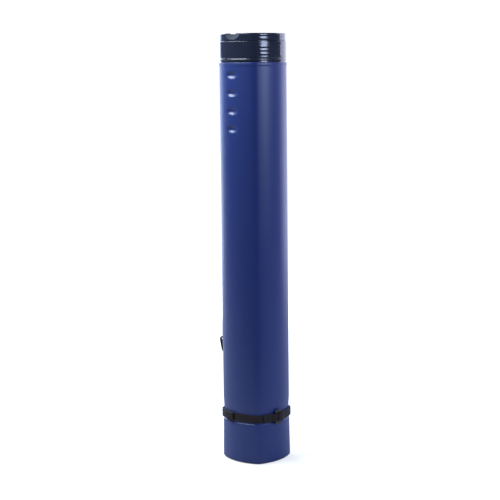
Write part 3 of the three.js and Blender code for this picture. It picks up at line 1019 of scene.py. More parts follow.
@dataclass(frozen=True)
class InnerTube:
    """The sliding tube, with the ribbed channel that the dimples ride in."""

    section: Section
    bottom: float
    top: float
    channel_bottom: float
    channel_top: float
    first_rib: float
    rib_pitch: float
    inset: float = 2.4
    wall: float = 1.5
    channel_half: float = 16.8
    floor_inset: float = 6.4
    crest_inset: float = 5.1
    chamfer: float = 2.0
    rib_radius: float = 3.0
    rib_rows: tuple[float, ...] = (-2.47, -2.1, -1.5, -0.8, 0.0, 0.8, 1.5, 2.1, 2.47)
    round_columns: int = 170
    channel_columns: int = 24

    def channel_y(self, x: Array, grown: float) -> Array:
        """The channel's floor and its cut corners, as y by x.

        Args:
            x: Where it is read.
            grown: The wall behind it, or 0 for the channel itself.

        Returns:
            The y of the floor, or of a corner's cut.
        """
        floor = -self.section.half_flats + self.floor_inset + grown
        past = np.abs(x) - (self.channel_half + grown - self.chamfer)
        return floor - np.clip(past, 0, None)

    def rib_y(self, height: Array) -> Array:
        """The ribs' faces, as y by height: round bars laid across the channel.

        Args:
            height: The heights.

        Returns:
            The y of the nearest rib, or a place behind the floor.
        """
        low = self.first_rib - self.rib_pitch / 2
        off = (height - low) % self.rib_pitch - self.rib_pitch / 2
        bulge = np.sqrt(np.clip(self.rib_radius**2 - off**2, 0, None))
        return -self.section.half_flats + self.crest_inset + self.rib_radius - bulge

    def directions(self) -> tuple[Array, Array]:
        """The columns' directions, round the tube and then across the channel at even steps.

        Returns:
            The directions, and a mask that is true in the channel.
        """
        side = self.section.side_radius - self.inset
        edge_length = np.arcsin(self.channel_half / side) * self.section.side_radius
        start = -self.section.quarter_length + edge_length
        end = 3 * self.section.quarter_length - edge_length
        around = self.section.direction(np.linspace(start, end, self.round_columns))
        across = np.linspace(-self.channel_half, self.channel_half, self.channel_columns + 2)[1:-1]
        directions = np.concatenate([around, np.arcsin(across / side) + 3 * QUARTER])
        return directions, np.arange(len(directions)) >= len(around)

    def outside(self, directions: Array, in_channel: Array) -> Array:
        """The outer wall: the section's outline, pressed in to the channel's floor and ribs
        between the channel's two ends.

        Args:
            directions: The columns' directions.
            in_channel: Which columns lie in the channel.

        Returns:
            The grid of points.
        """
        ribs = np.arange(self.first_rib, self.channel_top - self.rib_radius, self.rib_pitch)
        rib_heights = (ribs[:, None] + np.array(self.rib_rows)).ravel()
        below = [self.bottom + self.wall, self.channel_bottom, self.channel_bottom]
        above = [self.channel_top, self.channel_top, self.top]
        heights = np.concatenate([below, rib_heights, above])
        pressed = np.zeros(len(heights))
        pressed[2:-2] = 1.0
        points = self.section.moulded(straight_wall(self.inset, heights), directions)
        floor = np.minimum(self.channel_y(points[..., 0], 0.0), self.rib_y(heights)[:, None])
        sunk = np.maximum(points[..., 1], floor)
        points[..., 1] += pressed[:, None] * in_channel * (sunk - points[..., 1])
        return points

    def bore(self, directions: Array) -> Array:
        """The inner wall, from the top down: the section's outline, lifted over the back of the
        channel between its two ends.

        Args:
            directions: The columns' directions.

        Returns:
            The grid of points.
        """
        low = self.channel_bottom - self.wall
        high = self.channel_top + self.wall
        heights = np.array([self.top, high, high, low, low, self.bottom])
        over_channel = np.array([0, 0, 1, 1, 0, 0])
        points = self.section.moulded(straight_wall(self.inset + self.wall, heights), directions)
        front = (np.abs(points[..., 0]) < self.channel_half + self.wall) & (points[..., 1] < 0)
        lifted = np.maximum(points[..., 1], self.channel_y(points[..., 0], self.wall))
        points[..., 1] += over_channel[:, None] * front * (lifted - points[..., 1])
        return points

    def build(self) -> bpy.types.Object:
        """The tube as an object: its lower edge, the outer wall and the bore, closed on each other.

        Returns:
            The object.
        """
        directions, in_channel = self.directions()
        edge = np.array([[self.inset + self.wall / 2, self.bottom]])
        walls = [
            self.section.moulded(edge, directions),
            self.outside(directions, in_channel),
            self.bore(directions),
        ]
        return Shell.grid(np.concatenate(walls), closed_rows=True).to_object("sliding_tube")


@dataclass(frozen=True)
class Collar:
    """The glossy ring on the inner tube's upper end."""

    section: Section
    bottom: float
    top: float
    socket_top: float
    ribs: GripRibs
    inset: float = 0.3
    foot_inset: float = 1.2
    foot_height: float = 2.0
    bead_height: float = 3.5
    bead_out: float = 0.3
    groove_inset: float = 0.8
    groove_height: float = 0.9
    groove_edge: float = 0.6
    wall_start: float = 0.8
    row_step: float = 0.4
    ribs_start: float = 2.0
    ribs_end: float = 1.5
    edge: float = 0.9
    chamfer: float = 0.3
    bore_inset: float = 3.9
    socket_inset: float = 2.1
    bead_seam: float = 0.05
    bead_rows: int = 11
    groove_rows: int = 6
    columns: int = 320

    @property
    def bead_low(self) -> float:
        """Where the bead over the collar's foot starts."""
        return self.bottom + self.foot_height

    @property
    def groove_top(self) -> float:
        """Where the groove over the bead ends."""
        return self.bead_low + self.bead_height + self.groove_height

    def foot_rows(self) -> Array:
        """The bead as half an ellipse, and the plain wall's lower edge over the groove, whose
        inset falls with the root of its share and whose height follows a cosine.

        Returns:
            The rows, each an inset and a height.
        """
        half = self.bead_height / 2
        turn = np.linspace(-QUARTER, QUARTER, self.bead_rows)
        bead_depth = self.foot_inset - self.inset + self.bead_out
        bead_inset = self.foot_inset - bead_depth * np.cos(turn)
        bead = np.stack([bead_inset, self.bead_low + half + half * np.sin(turn)], -1)
        share = np.linspace(0, 1, self.groove_rows)
        edge_inset = self.groove_inset - (self.groove_inset - self.inset) * np.sqrt(share)
        edge_height = self.groove_top + self.groove_edge * (1 - np.cos(QUARTER * share))
        return np.concatenate([bead, np.stack([edge_inset, edge_height], -1)])

    def inner_rows(self) -> Array:
        """The bore and the socket, from the top down to the collar's foot.

        Returns:
            The rows, each an inset and a height.
        """
        rows = [
            (self.bore_inset - self.chamfer, self.top),
            (self.bore_inset, self.top - self.chamfer),
            (self.bore_inset, self.socket_top),
            (self.socket_inset, self.socket_top),
            (self.socket_inset, self.bottom),
            (self.foot_inset, self.bottom),
            (self.foot_inset, self.bead_low - self.bead_seam),
        ]
        return np.array(rows)

    def build(self) -> bpy.types.Object:
        """The collar as an object: up the outside with its bead, groove and ribs, over the top and
        down the bore and the socket.

        Returns:
            The object.
        """
        foot = self.foot_rows()
        wall_low = self.groove_top + self.wall_start
        wall_heights = np.arange(wall_low, self.top - self.edge, self.row_step)
        wall = straight_wall(self.inset, wall_heights)
        over = arc((self.inset + self.edge, self.top - self.edge), self.edge, np.pi, QUARTER, count=9)
        profile = np.concatenate([foot, wall, over, self.inner_rows()])
        directions = self.section.ring(self.columns)
        on_wall = np.zeros(len(profile))
        on_wall[len(foot) : len(foot) + len(wall)] = 1.0
        low = wall_low + self.ribs_start
        push = self.ribs.push(self.section, directions, profile[:, 1], low, self.top - self.ribs_end)
        points = self.section.moulded(profile, directions, push * on_wall[:, None])
        return Shell.grid(points, closed_rows=True).to_object("collar_ring")


@dataclass(frozen=True)
class Lid:
    """The push-on lid: a rim with a dished top, a thumb scoop and a hollow plug."""

    section: Section
    plug_bottom: float
    top: float
    ribs: GripRibs
    seam: float
    inset: float = 1.15
    edge: float = 1.5
    rim_width: float = 3.8
    recess: float = 2.5
    plate: float = 2.0
    plug_inset: float = 4.2
    plug_wall: float = 1.6
    scoop_width: float = 40.0
    scoop_reach: float = 9.0
    scoop_drop: float = 12.0
    scoop_out: float = 4.65
    scoop_rise: float = 1.0
    scoop_rows: int = 64
    scoop_columns: int = 96
    gate_radius: float = 1.6
    gate_height: float = 0.3
    gate_top: float = 0.5
    underside_middle: float = 8.0
    dish_middle: float = 12.0
    dish_rounding: float = 1.0
    rim_edge: float = 0.5
    plug_corner: float = 1.0
    chamfer: float = 0.3
    seam_edge: float = 0.4
    row_step: float = 0.4
    ribs_start: float = 0.6
    ribs_past: float = 2.0
    columns: int = 320

    @property
    def scoop_centre(self) -> tuple[float, float, float]:
        """The middle of the ellipsoid that is cut away for the thumb."""
        y = -self.section.half_flats + self.inset - self.scoop_out
        return 0.0, y, self.top + self.scoop_rise

    def satin(self) -> "SatinPatch":
        """The scoop's own rougher finish."""
        radii = (self.scoop_width / 2, self.scoop_reach, self.scoop_drop)
        return SatinPatch("black_plastic_lid", self.scoop_centre, radii)

    def scoop(self) -> Shell:
        """The ellipsoid that is cut away for the thumb: (a sin u cos v, b sin u sin v, c cos u)
        round its centre.

        Returns:
            The closed shell.
        """
        u = np.linspace(np.pi, 0, self.scoop_rows + 2)[1:-1, None]
        v = np.linspace(0, 2 * np.pi, self.scoop_columns, endpoint=False)[None, :]
        x = self.scoop_width / 2 * np.sin(u) * np.cos(v)
        y = self.scoop_reach * np.sin(u) * np.sin(v)
        z = self.scoop_drop * np.cos(u)
        points = np.stack(np.broadcast_arrays(x, y, z), -1) + np.array(self.scoop_centre)
        return Shell.grid(points, capped=True)

    def plug_rows(self) -> Array:
        """The hollow plug, from the plate's underside down round it and up to the seam.

        Returns:
            The rows, each an inset and a height.
        """
        inside = self.plug_inset + self.plug_wall
        under = self.top - self.recess - self.plate
        rows = [
            (self.section.half_flats - self.underside_middle, under),
            (inside + self.plug_corner, under),
            (inside, under - self.plug_corner),
            (inside, self.plug_bottom + self.chamfer),
            (inside - self.chamfer, self.plug_bottom),
            (self.plug_inset + self.chamfer, self.plug_bottom),
            (self.plug_inset, self.plug_bottom + self.plug_wall),
            (self.plug_inset, self.seam),
            (self.inset + self.seam_edge, self.seam),
        ]
        return np.array(rows)

    def top_rows(self) -> Array:
        """Over the rim, down into the dish and in to the moulding mark at its middle.

        Returns:
            The rows, each an inset and a height.
        """
        dish = self.top - self.recess
        rim = self.inset + self.rim_width
        half = self.section.half_flats
        over_middle = (self.inset + self.edge, self.top - self.edge)
        rim_middle = (rim - self.rim_edge, self.top - self.rim_edge)
        dish_middle = (rim + self.dish_rounding, dish + self.dish_rounding)
        mark = [
            (half - self.dish_middle, dish),
            (half - self.gate_radius - self.gate_height, dish),
            (half - self.gate_radius, dish + self.gate_height),
            (half - self.gate_radius + self.gate_top, dish + self.gate_height),
        ]
        parts = [
            arc(over_middle, self.edge, np.pi, QUARTER, count=10),
            arc(rim_middle, self.rim_edge, QUARTER, 0, count=5),
            arc(dish_middle, self.dish_rounding, np.pi, 3 * QUARTER, count=6),
            np.array(mark),
        ]
        return np.concatenate(parts)

    def shell(self) -> Shell:
        """The lid without its scoop, from the plate's underside down round the plug, up the
        outside with its ribs and over the rim into the dish.

        Returns:
            The closed shell.
        """
        plug = self.plug_rows()
        heights = np.arange(self.seam + self.seam_edge, self.top - self.edge, self.row_step)
        profile = np.concatenate([plug, straight_wall(self.inset, heights), self.top_rows()])
        directions = self.section.ring(self.columns)
        on_wall = np.zeros(len(profile))
        on_wall[len(plug) : len(plug) + len(heights) + 1] = 1.0
        low = self.seam + self.ribs_start
        high = self.top - self.edge + self.ribs_past
        push = self.ribs.push(self.section, directions, profile[:, 1], low, high)
        return Shell.grid(self.section.moulded(profile, directions, push * on_wall[:, None]), capped=True)

    def build(self) -> bpy.types.Object:
        """The lid as an object, with the scoop cut away."""
        return combined(self.shell().to_object("push_lid"), self.scoop().to_object("scoop"), Join.CUT)


@dataclass(frozen=True)
class BaseBelt:
    """The belt round the foot, with its buckle and stitching."""

    section: Section
    webbing: Webbing
    bottom: float
    seat_depth: float
    buckle_aside: float = -3.0
    sewn_length: float = 11.0
    tail_short: float = 4.0
    tail_fold: float = 10.0
    sewn_start: float = 1.2
    sewn_end: float = 0.5
    fold_rows: tuple[float, ...] = (1.6, 3.8)
    look_ahead: float = 0.1
    step: float = 0.7
    frame: SlottedFrame = SlottedFrame(
        bar=1.8, slot=4.3, cheek=4.7, rounding=2.0, thickness=1.6, opening=12.6, edge=0.45
    )

    def layer(self, n: int) -> float:
        """How far the middle of webbing layer n stands off the tube's plain face."""
        return CLEARANCE + self.webbing.thickness / 2 - self.seat_depth + n * self.webbing.layer_step

    @property
    def sewn_tip(self) -> float:
        """Where the sewn end starts, as a length along the outline."""
        return self.buckle_aside - self.frame.pitch - 2 * self.frame.slot - self.sewn_length

    @property
    def free_tip(self) -> float:
        """Where the free end is folded, as a length along the outline."""
        return -self.section.perimeter / 4 - self.tail_short

    @property
    def bend(self) -> float:
        """The radius at which the webbing's middle bends round a bar of the buckle."""
        return self.frame.bar_reach + CLEARANCE + self.webbing.thickness / 2

    def lift(self, length: Array) -> Array:
        """How far the belt is lifted where the strap's end passes behind it.

        Args:
            length: The length along the outline.

        Returns:
            The lift, eased off over one webbing width.
        """
        half = self.webbing.width / 2
        from_strap = np.abs(length + self.section.perimeter / 2) - half - CLEARANCE
        lifted = self.webbing.layer_step + self.section.sag(half)
        return (1 - soft_step(from_strap, 0, self.webbing.width)) * lifted

    def trail(self) -> Trail:
        """The belt's middle line, as [length along the outline, distance off the face]: from the
        sewn end round the near bar, once round the foot, round the middle bar and back over itself.

        Returns:
            The path.
        """
        pitch = self.frame.pitch
        bend = self.bend

        def bar_out(aside: float) -> float:
            """A bar's distance off the face, which bows away from the flat buckle."""
            return self.layer(0) + bend + self.section.sag(aside)

        near = self.buckle_aside - pitch
        near_over = bar_out(near) + bend
        round_end = self.buckle_aside - self.section.perimeter
        far = round_end + pitch
        far_over = bar_out(self.buckle_aside + pitch) + bend
        rise = 2 * self.frame.slot
        half = self.frame.bar / 2
        tip = self.free_tip
        fold = self.webbing.layer_step / 2
        path = Trail((self.sewn_tip, self.layer(1)))
        path.line((near - rise, self.layer(1)))
        path.curve((near - rise / 2, self.layer(1)), (near - rise / 2, near_over), (near - half, near_over))
        path.turn((near, bar_out(near)), bend, QUARTER, -QUARTER)
        path.line((near - self.frame.slot, self.layer(0)))
        path.line((round_end, self.layer(0)))
        path.turn((round_end, bar_out(self.buckle_aside)), bend, -QUARTER, -3 * QUARTER)
        path.line((far + half, far_over))
        path.curve((far + rise / 2, far_over), (far + rise / 2, self.layer(1)), (far + rise, self.layer(1)))
        path.line((tip - fold, self.layer(1)))
        path.turn((tip - fold, self.layer(1) + fold), fold, -QUARTER, QUARTER)
        path.line((tip - self.tail_fold, self.layer(2)))
        return path

    def place(self, length: Array, out: Array, height: Array) -> Array:
        """Points on the tube at a length along the outline, a distance off the face and a height."""
        flat = self.section.point(self.section.direction(length), out + self.lift(length))
        return np.concatenate([flat, np.broadcast_to(height, length.shape)[:, None]], -1)

    def build(self) -> tuple[bpy.types.Object, bpy.types.Object, bpy.types.Object]:
        """The belt, its buckle and its stitching as objects.

        Returns:
            The three objects.
        """
        middle = self.bottom + self.webbing.width / 2
        line = self.trail().points(self.step)
        strip = self.webbing.strip(self.place(line[:, 0], line[:, 1], middle), (0, 0, 1))
        belt = strip.to_object("belt_webbing")
        out = self.section.half_flats + self.layer(0) + self.bend
        axes = ((0, 1, 0), (0, 0, 1), (1, 0, 0))
        buckle = self.frame.build("belt_buckle_frame", axes, (out, self.buckle_aside, middle))
        return belt, buckle, self.sewing(middle).to_object("belt_thread")

    def sewing(self, middle: float) -> Shell:
        """The box of stitches at the sewn end and the two rows on the folded tip.

        Args:
            middle: The height of the belt's middle.

        Returns:
            The stitches.
        """
        stitching = Stitching()
        half = self.webbing.width / 2 - stitching.margin
        box_end = self.sewn_tip + self.sewn_length - self.sewn_end
        sewn_box = stitching.box((self.sewn_tip + self.sewn_start, -half), (box_end, half))
        tip = self.free_tip - self.tail_fold
        rows = [stitching.row((tip + along, -half), (tip + along, half)) for along in self.fold_rows]

        def on_layer(n: int) -> Placer:
            """The places of stitches that lie on webbing layer n."""

            def place(along: Array, across: Array) -> tuple[Array, Array, Array, Array]:
                """Points on the layer, with the directions there.

                Args:
                    along: The length along the outline.
                    across: The distance from the webbing's middle.

                Returns:
                    The points, and the directions along, across and out of the webbing.
                """
                out = np.full(len(along), self.layer(n))
                points = self.place(along, out, middle + across)
                tangent = self.place(along + self.look_ahead, out, middle + across) - points
                tangent /= np.linalg.norm(tangent, axis=1, keepdims=True)
                up = np.broadcast_to((0.0, 0.0, 1.0), tangent.shape)
                return points, tangent, up, np.cross(tangent, up)

            return place

        sewn_thread = stitching.thread(sewn_box, on_layer(1), self.webbing)
        return sewn_thread + stitching.thread(np.concatenate(rows), on_layer(2), self.webbing)


@dataclass(frozen=True)
class ShoulderStrap:
    """The strap on the hidden face, with its slider and stitching."""

    section: Section
    webbing: Webbing
    belt: BaseBelt
    lug: StrapLug
    slider_height: float
    slider_out: float
    lean_degrees: float = 13.0
    sewn_length: float = 26.0
    box_start: float = 1.5
    box_length: float = 9.0
    step: float = 0.8
    frame: SlottedFrame = SlottedFrame(
        bar=2.8, slot=7.6, cheek=4.2, rounding=4.0, thickness=2.0, opening=12.6, edge=0.5
    )

    @property
    def lean(self) -> float:
        """How far the slider leans out at its top."""
        return np.radians(self.lean_degrees)

    @property
    def bar_bend(self) -> float:
        """The radius at which the webbing's middle bends round the lug's bar."""
        return self.lug.bar_radius + CLEARANCE + self.webbing.thickness / 2

    @property
    def outer_leg(self) -> float:
        """How far off the face the outer of the two layers under the lug hangs."""
        return self.lug.bar_out - self.bar_bend + self.webbing.layer_step

    def on_slider(self, up: float, out: float) -> Array:
        """A point of the slider's own plane, as [height, distance off the face].

        Args:
            up: How far up the slider.
            out: How far out of its plane.

        Returns:
            The point.
        """
        height = self.slider_height + up * np.cos(self.lean) - out * np.sin(self.lean)
        return np.array([height, self.slider_out + up * np.sin(self.lean) + out * np.cos(self.lean)])

    def trail(self) -> Trail:
        """The strap's middle line, as [height, distance off the face]: from its sewn upper end
        round the lug's bar, down through the slider, round the belt from below and back up. A
        curve's control points lie a few bends, pitches or widths from its ends.

        Returns:
            The path.
        """
        step = self.webbing.layer_step
        bar_bend = self.bar_bend
        inner_leg = self.lug.bar_out - bar_bend
        outer_leg = self.outer_leg
        lug_height = self.lug.height
        sewn = lug_height - self.sewn_length
        pitch = self.frame.pitch
        under = self.frame.thickness / 2 + self.webbing.thickness
        loop = self.frame.bar_reach + CLEARANCE + self.webbing.thickness / 2
        over = loop + step + CLEARANCE
        returning = under + step + CLEARANCE
        outside = self.belt.layer(3) + self.section.sag(self.webbing.width / 2)
        inside = self.belt.layer(0)
        turn = (outside - inside) / 2
        width = self.webbing.width
        low = self.belt.bottom
        on = self.on_slider
        path = Trail((sewn, inner_leg))

        def weave(start: float, end: float, start_out: float, end_out: float) -> None:
            """Eases from one side of the slider to the other."""
            middle = (start + end) / 2
            path.curve(on(middle, start_out), on(middle, end_out), on(end, end_out))

        path.line((lug_height, inner_leg))
        path.turn((lug_height, self.lug.bar_out), bar_bend, -QUARTER, QUARTER)
        path.curve(
            (lug_height - 2 * bar_bend, self.lug.bar_out + bar_bend),
            (lug_height - 2 * bar_bend, outer_leg),
            (lug_height - 5 * bar_bend, outer_leg),
        )
        path.line((sewn, outer_leg))
        path.curve(
            (sewn - (sewn - self.slider_height) / 3, outer_leg),
            on(5 * pitch, -pitch),
            on(pitch + self.frame.bar, -under),
        )
        path.line(on(pitch, -under))
        weave(pitch, 0, -under, over)
        weave(0, -pitch, over, -under)
        path.curve(on(-2 * pitch, -under), (low + 3 * width, outside), (low + width, outside))
        path.line((low, outside))
        path.turn((low, inside + turn), turn, QUARTER, 3 * QUARTER)
        path.line((low + width, inside))
        path.curve((low + 2 * width, inside), on(-2 * pitch, -returning), on(-pitch, -returning))
        weave(-pitch, 0, -returning, -loop)
        path.turn(on(0, 0), loop, self.lean - QUARTER, 2 * self.lean + QUARTER)
        return path

    def place(self, height: Array, out: Array, across: Array) -> Array:
        """Points behind the face at -X: height up, out of the face and across it."""
        x = -self.section.half_flats - out
        return np.stack(np.broadcast_arrays(x, across, height), -1)

    def build(self) -> tuple[bpy.types.Object, bpy.types.Object, bpy.types.Object]:
        """The strap, its slider and its stitching as objects.

        Returns:
            The three objects.
        """
        line = self.trail().points(self.step)
        strip = self.webbing.strip(self.place(line[:, 0], line[:, 1], 0.0), (0, 1, 0))
        strap = strip.to_object("strap_webbing")
        height, out = self.on_slider(0, 0)
        up_axis = (-np.sin(self.lean), 0, np.cos(self.lean))
        out_axis = (-np.cos(self.lean), 0, -np.sin(self.lean))
        axes = (up_axis, (0, 1, 0), out_axis)
        slider = self.frame.build("strap_slider_frame", axes, self.place(height, out, 0.0))
        return strap, slider, self.sewing().to_object("strap_thread")

    def sewing(self) -> Shell:
        """The box of stitches under the lug.

        Returns:
            The stitches.
        """
        stitching = Stitching()
        half = self.webbing.width / 2 - stitching.margin
        low = self.lug.height - self.sewn_length + self.box_start

        def place(along: Array, across: Array) -> tuple[Array, Array, Array, Array]:
            """Points on the strap's outer layer, with the directions there.

            Args:
                along: The height.
                across: The distance from the webbing's middle.

            Returns:
                The points, and the directions along, across and out of the webbing.
            """
            points = self.place(along, np.full(len(along), self.outer_leg), across)
            up, side, out = (
                np.broadcast_to(axis, points.shape)
                for axis in ((0.0, 0.0, 1.0), (0.0, 1.0, 0.0), (-1.0, 0.0, 0.0))
            )
            return points, up, side, out

        box = stitching.box((low, -half), (low + self.box_length, half))
        return stitching.thread(box, place, self.webbing)


class Signal:
    """A shader socket that can be used in sums and products."""

    def __init__(self, tree: "NodeTree", socket: bpy.types.NodeSocket) -> None:
        """Wraps one output socket of a tree."""
        self.tree = tree
        self.socket = socket

    def maths(self, operation: str, *values: Union["Signal", float]) -> "Signal":
        """One Math node on signals and numbers.

        Args:
            operation: The node's operation.
            values: Its inputs in order.

        Returns:
            The node's result.
        """
        inputs = {index: value for index, value in enumerate(values)}
        return self.tree.node("ShaderNodeMath", {"operation": operation}, inputs)

    def __add__(self, other: Union["Signal", float]) -> "Signal":
        """Self plus other."""
        return self.maths("ADD", self, other)

    __radd__ = __add__

    def __mul__(self, other: Union["Signal", float]) -> "Signal":
        """Self times other."""
        return self.maths("MULTIPLY", self, other)

    __rmul__ = __mul__

    def __sub__(self, other: Union["Signal", float]) -> "Signal":
        """Self minus other."""
        return self.maths("SUBTRACT", self, other)

    def __rsub__(self, other: Union["Signal", float]) -> "Signal":
        """Other minus self."""
        return self.maths("SUBTRACT", other, self)

    def __pow__(self, other: float) -> "Signal":
        """Self to a power."""
        return self.maths("POWER", self, other)

    def wave(self) -> "Signal":
        """The sine of self."""
        return self.maths("SINE", self)

    def size(self) -> "Signal":
        """Self without its sign."""
        return self.maths("ABSOLUTE", self)


class NodeTree:
    """The nodes of a finish or of the room."""

    def __init__(self, tree: bpy.types.NodeTree) -> None:
        """Starts with an empty tree.

        Args:
            tree: The tree of a material or a world.
        """
        self.nodes = tree.nodes
        self.links = tree.links
        self.nodes.clear()

    def node(self, kind: str, settings: dict, inputs: dict, output: Union[str, int] = 0) -> Signal:
        """Any node: its settings first, then its inputs.

        Args:
            kind: The node's type.
            settings: Its own values by name.
            inputs: Values or signals by socket name or number.
            output: The socket that is wanted.

        Returns:
            The wanted output.
        """
        made = self.nodes.new(kind)
        for name, value in settings.items():
            setattr(made, name, value)
        for key, value in inputs.items():
            if isinstance(value, Signal):
                self.links.new(value.socket, made.inputs[key])
            else:
                made.inputs[key].default_value = value
        return Signal(self, made.outputs[output])

    def show(self, kind: str, shader: bpy.types.NodeSocket) -> None:
        """Leads a shader to the tree's output node, whose type is the kind."""
        self.links.new(shader, self.nodes.new(kind).inputs["Surface"])


class ShaderTree(NodeTree):
    """A material with one Principled shader and its nodes."""

    def __init__(self, name: str) -> None:
        """Starts the material.

        Args:
            name: Its name.
        """
        self.material = bpy.data.materials.new(name)
        self.material.use_nodes = True
        super().__init__(self.material.node_tree)
        self.shader = self.nodes.new("ShaderNodeBsdfPrincipled")
        self.show("ShaderNodeOutputMaterial", self.shader.outputs[0])

    def coordinates(self, scale: Sequence[float]) -> Signal:
        """Object coordinates stretched by a scale."""
        place = self.node("ShaderNodeTexCoord", {}, {}, "Object")
        return self.node("ShaderNodeMapping", {}, {"Vector": place, "Scale": scale})

    def noise(self, scale: Sequence[float], detail: float = 3.0) -> Signal:
        """Noise between 0 and 1 on stretched object coordinates."""
        inputs = {"Vector": self.coordinates(scale), "Scale": 1.0, "Detail": detail}
        return self.node("ShaderNodeTexNoise", {}, inputs, "Fac")

    def mix(self, factor: Signal, low: Sequence[float], high: Sequence[float]) -> Signal:
        """A colour between two, by a factor."""
        inputs = {0: factor, 6: (*low, 1.0), 7: (*high, 1.0)}
        return self.node("ShaderNodeMix", {"data_type": "RGBA"}, inputs, 2)

    def bump(self, height: Signal, distance_mm: float, strength: float = 1.0) -> Signal:
        """A bumped normal from a height."""
        inputs = {"Height": height, "Distance": distance_mm * MM, "Strength": strength}
        return self.node("ShaderNodeBump", {}, inputs)

    def finish(self, **sockets: Union[Signal, float, tuple]) -> bpy.types.Material:
        """Sets the shader's own sockets and gives the material.

        Args:
            sockets: Values or signals by socket name, with _ for a space.

        Returns:
            The material.
        """
        for name, value in sockets.items():
            socket = self.shader.inputs[name.replace("_", " ")]
            if isinstance(value, Signal):
                self.links.new(value.socket, socket)
            else:
                socket.default_value = value
        return self.material


@dataclass(frozen=True)
class SatinPatch:
    """An ellipsoid inside which a finish is satin. Its place and radii are in millimetres."""

    name: str
    centre: tuple[float, float, float]
    radii: tuple[float, float, float]
    roughness: float = 0.8
    fade: float = 0.03

    def mask(self, tree: ShaderTree) -> Signal:
        """The patch's share at each point: 1 inside the ellipsoid, fading to 0 just outside it, by
        the length of (point - centre) / radii.

        Args:
            tree: The finish's nodes.

        Returns:
            The share.
        """
        place = tree.node("ShaderNodeTexCoord", {}, {}, "Object")
        centre = tuple(value * MM for value in self.centre)
        radii = tuple(value * MM for value in self.radii)
        off = tree.node("ShaderNodeVectorMath", {"operation": "SUBTRACT"}, {0: place, 1: centre})
        share = tree.node("ShaderNodeVectorMath", {"operation": "DIVIDE"}, {0: off, 1: radii})
        reach = tree.node("ShaderNodeVectorMath", {"operation": "LENGTH"}, {0: share}, "Value")
        ends = {"From Min": 1.0, "From Max": 1.0 + self.fade, "To Min": 1.0, "To Max": 0.0}
        return tree.node("ShaderNodeMapRange", {}, {"Value": reach, **ends}, "Result")


@dataclass(frozen=True)
class MouldedPlastic:
    """Moulded plastic: a colour that drifts a little, faint draw lines and a fine grain. A
    pattern's scale is how often it repeats in a metre along X, Y and Z."""

    name: str
    colour: tuple[float, float, float]
    drift: tuple[float, float, float]
    roughness: float
    roughness_spread: float
    specular: float
    grain_mm: float
    wave_mm: float
    streak_scale: tuple[float, float, float] = (160, 160, 5)
    cloud_scale: tuple[float, float, float] = (22, 22, 9)
    grain_scale: tuple[float, float, float] = (1500, 1500, 1500)
    wave_scale: tuple[float, float, float] = (45, 45, 14)
    grain_spread: float = 0.04
    relief_mm: float = 0.1

    def build(self, satin: SatinPatch | None = None) -> bpy.types.Material:
        """The finish as a material.

        Args:
            satin: A part of it that is rougher.

        Returns:
            The material.
        """
        tree = ShaderTree(self.name if satin is None else satin.name)
        streaks = tree.noise(self.streak_scale)
        clouds = tree.noise(self.cloud_scale)
        grain = tree.noise(self.grain_scale, 2.0)
        wave = tree.noise(self.wave_scale, 1.0)
        relief = grain * (self.grain_mm / self.relief_mm) + wave * (self.wave_mm / self.relief_mm)
        uneven = (clouds - 0.5) * self.roughness_spread + (grain - 0.5) * self.grain_spread
        roughness = self.roughness + uneven
        if satin is not None:
            roughness = roughness + satin.mask(tree) * (satin.roughness - self.roughness)
        return tree.finish(
            Base_Color=tree.mix(streaks * 0.5 + clouds * 0.5, self.colour, self.drift),
            Roughness=roughness,
            Normal=tree.bump(relief, self.relief_mm),
            Specular_IOR_Level=self.specular,
        )


@dataclass(frozen=True)
class WovenWebbing:
    """Plain woven webbing: ribs of yarn along it, crossed by a fine weft. The yarn and the weft
    are given as widths in millimetres."""

    name: str
    colour: tuple[float, float, float]
    # gap is painted shade: the darker colour given to the hollows between the yarns.
    gap: tuple[float, float, float]
    yarn: float = 1.0
    weft: float = 0.9
    rib_share: float = 0.55
    fuzz_share: float = 0.25
    fuzz_scale: tuple[float, float, float] = (900, 900, 900)
    fuzz_relief: float = 0.3
    relief_mm: float = 0.22
    roughness: float = 0.78
    roughness_spread: float = 0.2
    specular: float = 0.3

    def build(self) -> bpy.types.Material:
        """The finish as a material. The relief is a plain weave: where warp and weft waves agree
        in sign, the warp lies on top.

        Returns:
            The material.
        """
        tree = ShaderTree(self.name)
        place = tree.node("ShaderNodeUVMap", {"uv_map": "weave"}, {})
        along = tree.node("ShaderNodeSeparateXYZ", {}, {0: place}, 0)
        across = tree.node("ShaderNodeSeparateXYZ", {}, {0: place}, 1)
        warp = (across * (np.pi / self.yarn)).wave()
        weft = (along * (np.pi / self.weft)).wave()
        relief = (warp * weft + 1) * 0.5
        ribs = warp.size() ** 0.5
        height = relief * (1 - self.rib_share) + ribs * self.rib_share
        fuzz = tree.noise(self.fuzz_scale, 2.0)
        # The colour is darker where the weave's relief is low, which is painted shade in the hollows, mixed
        # with a random fuzz tone.
        shade = height * (1 - self.fuzz_share) + fuzz * self.fuzz_share
        return tree.finish(
            Base_Color=tree.mix(shade, self.gap, self.colour),
            Roughness=self.roughness + (fuzz - 0.5) * self.roughness_spread,
            Normal=tree.bump(height + fuzz * self.fuzz_relief, self.relief_mm),
            Specular_IOR_Level=self.specular,
        )


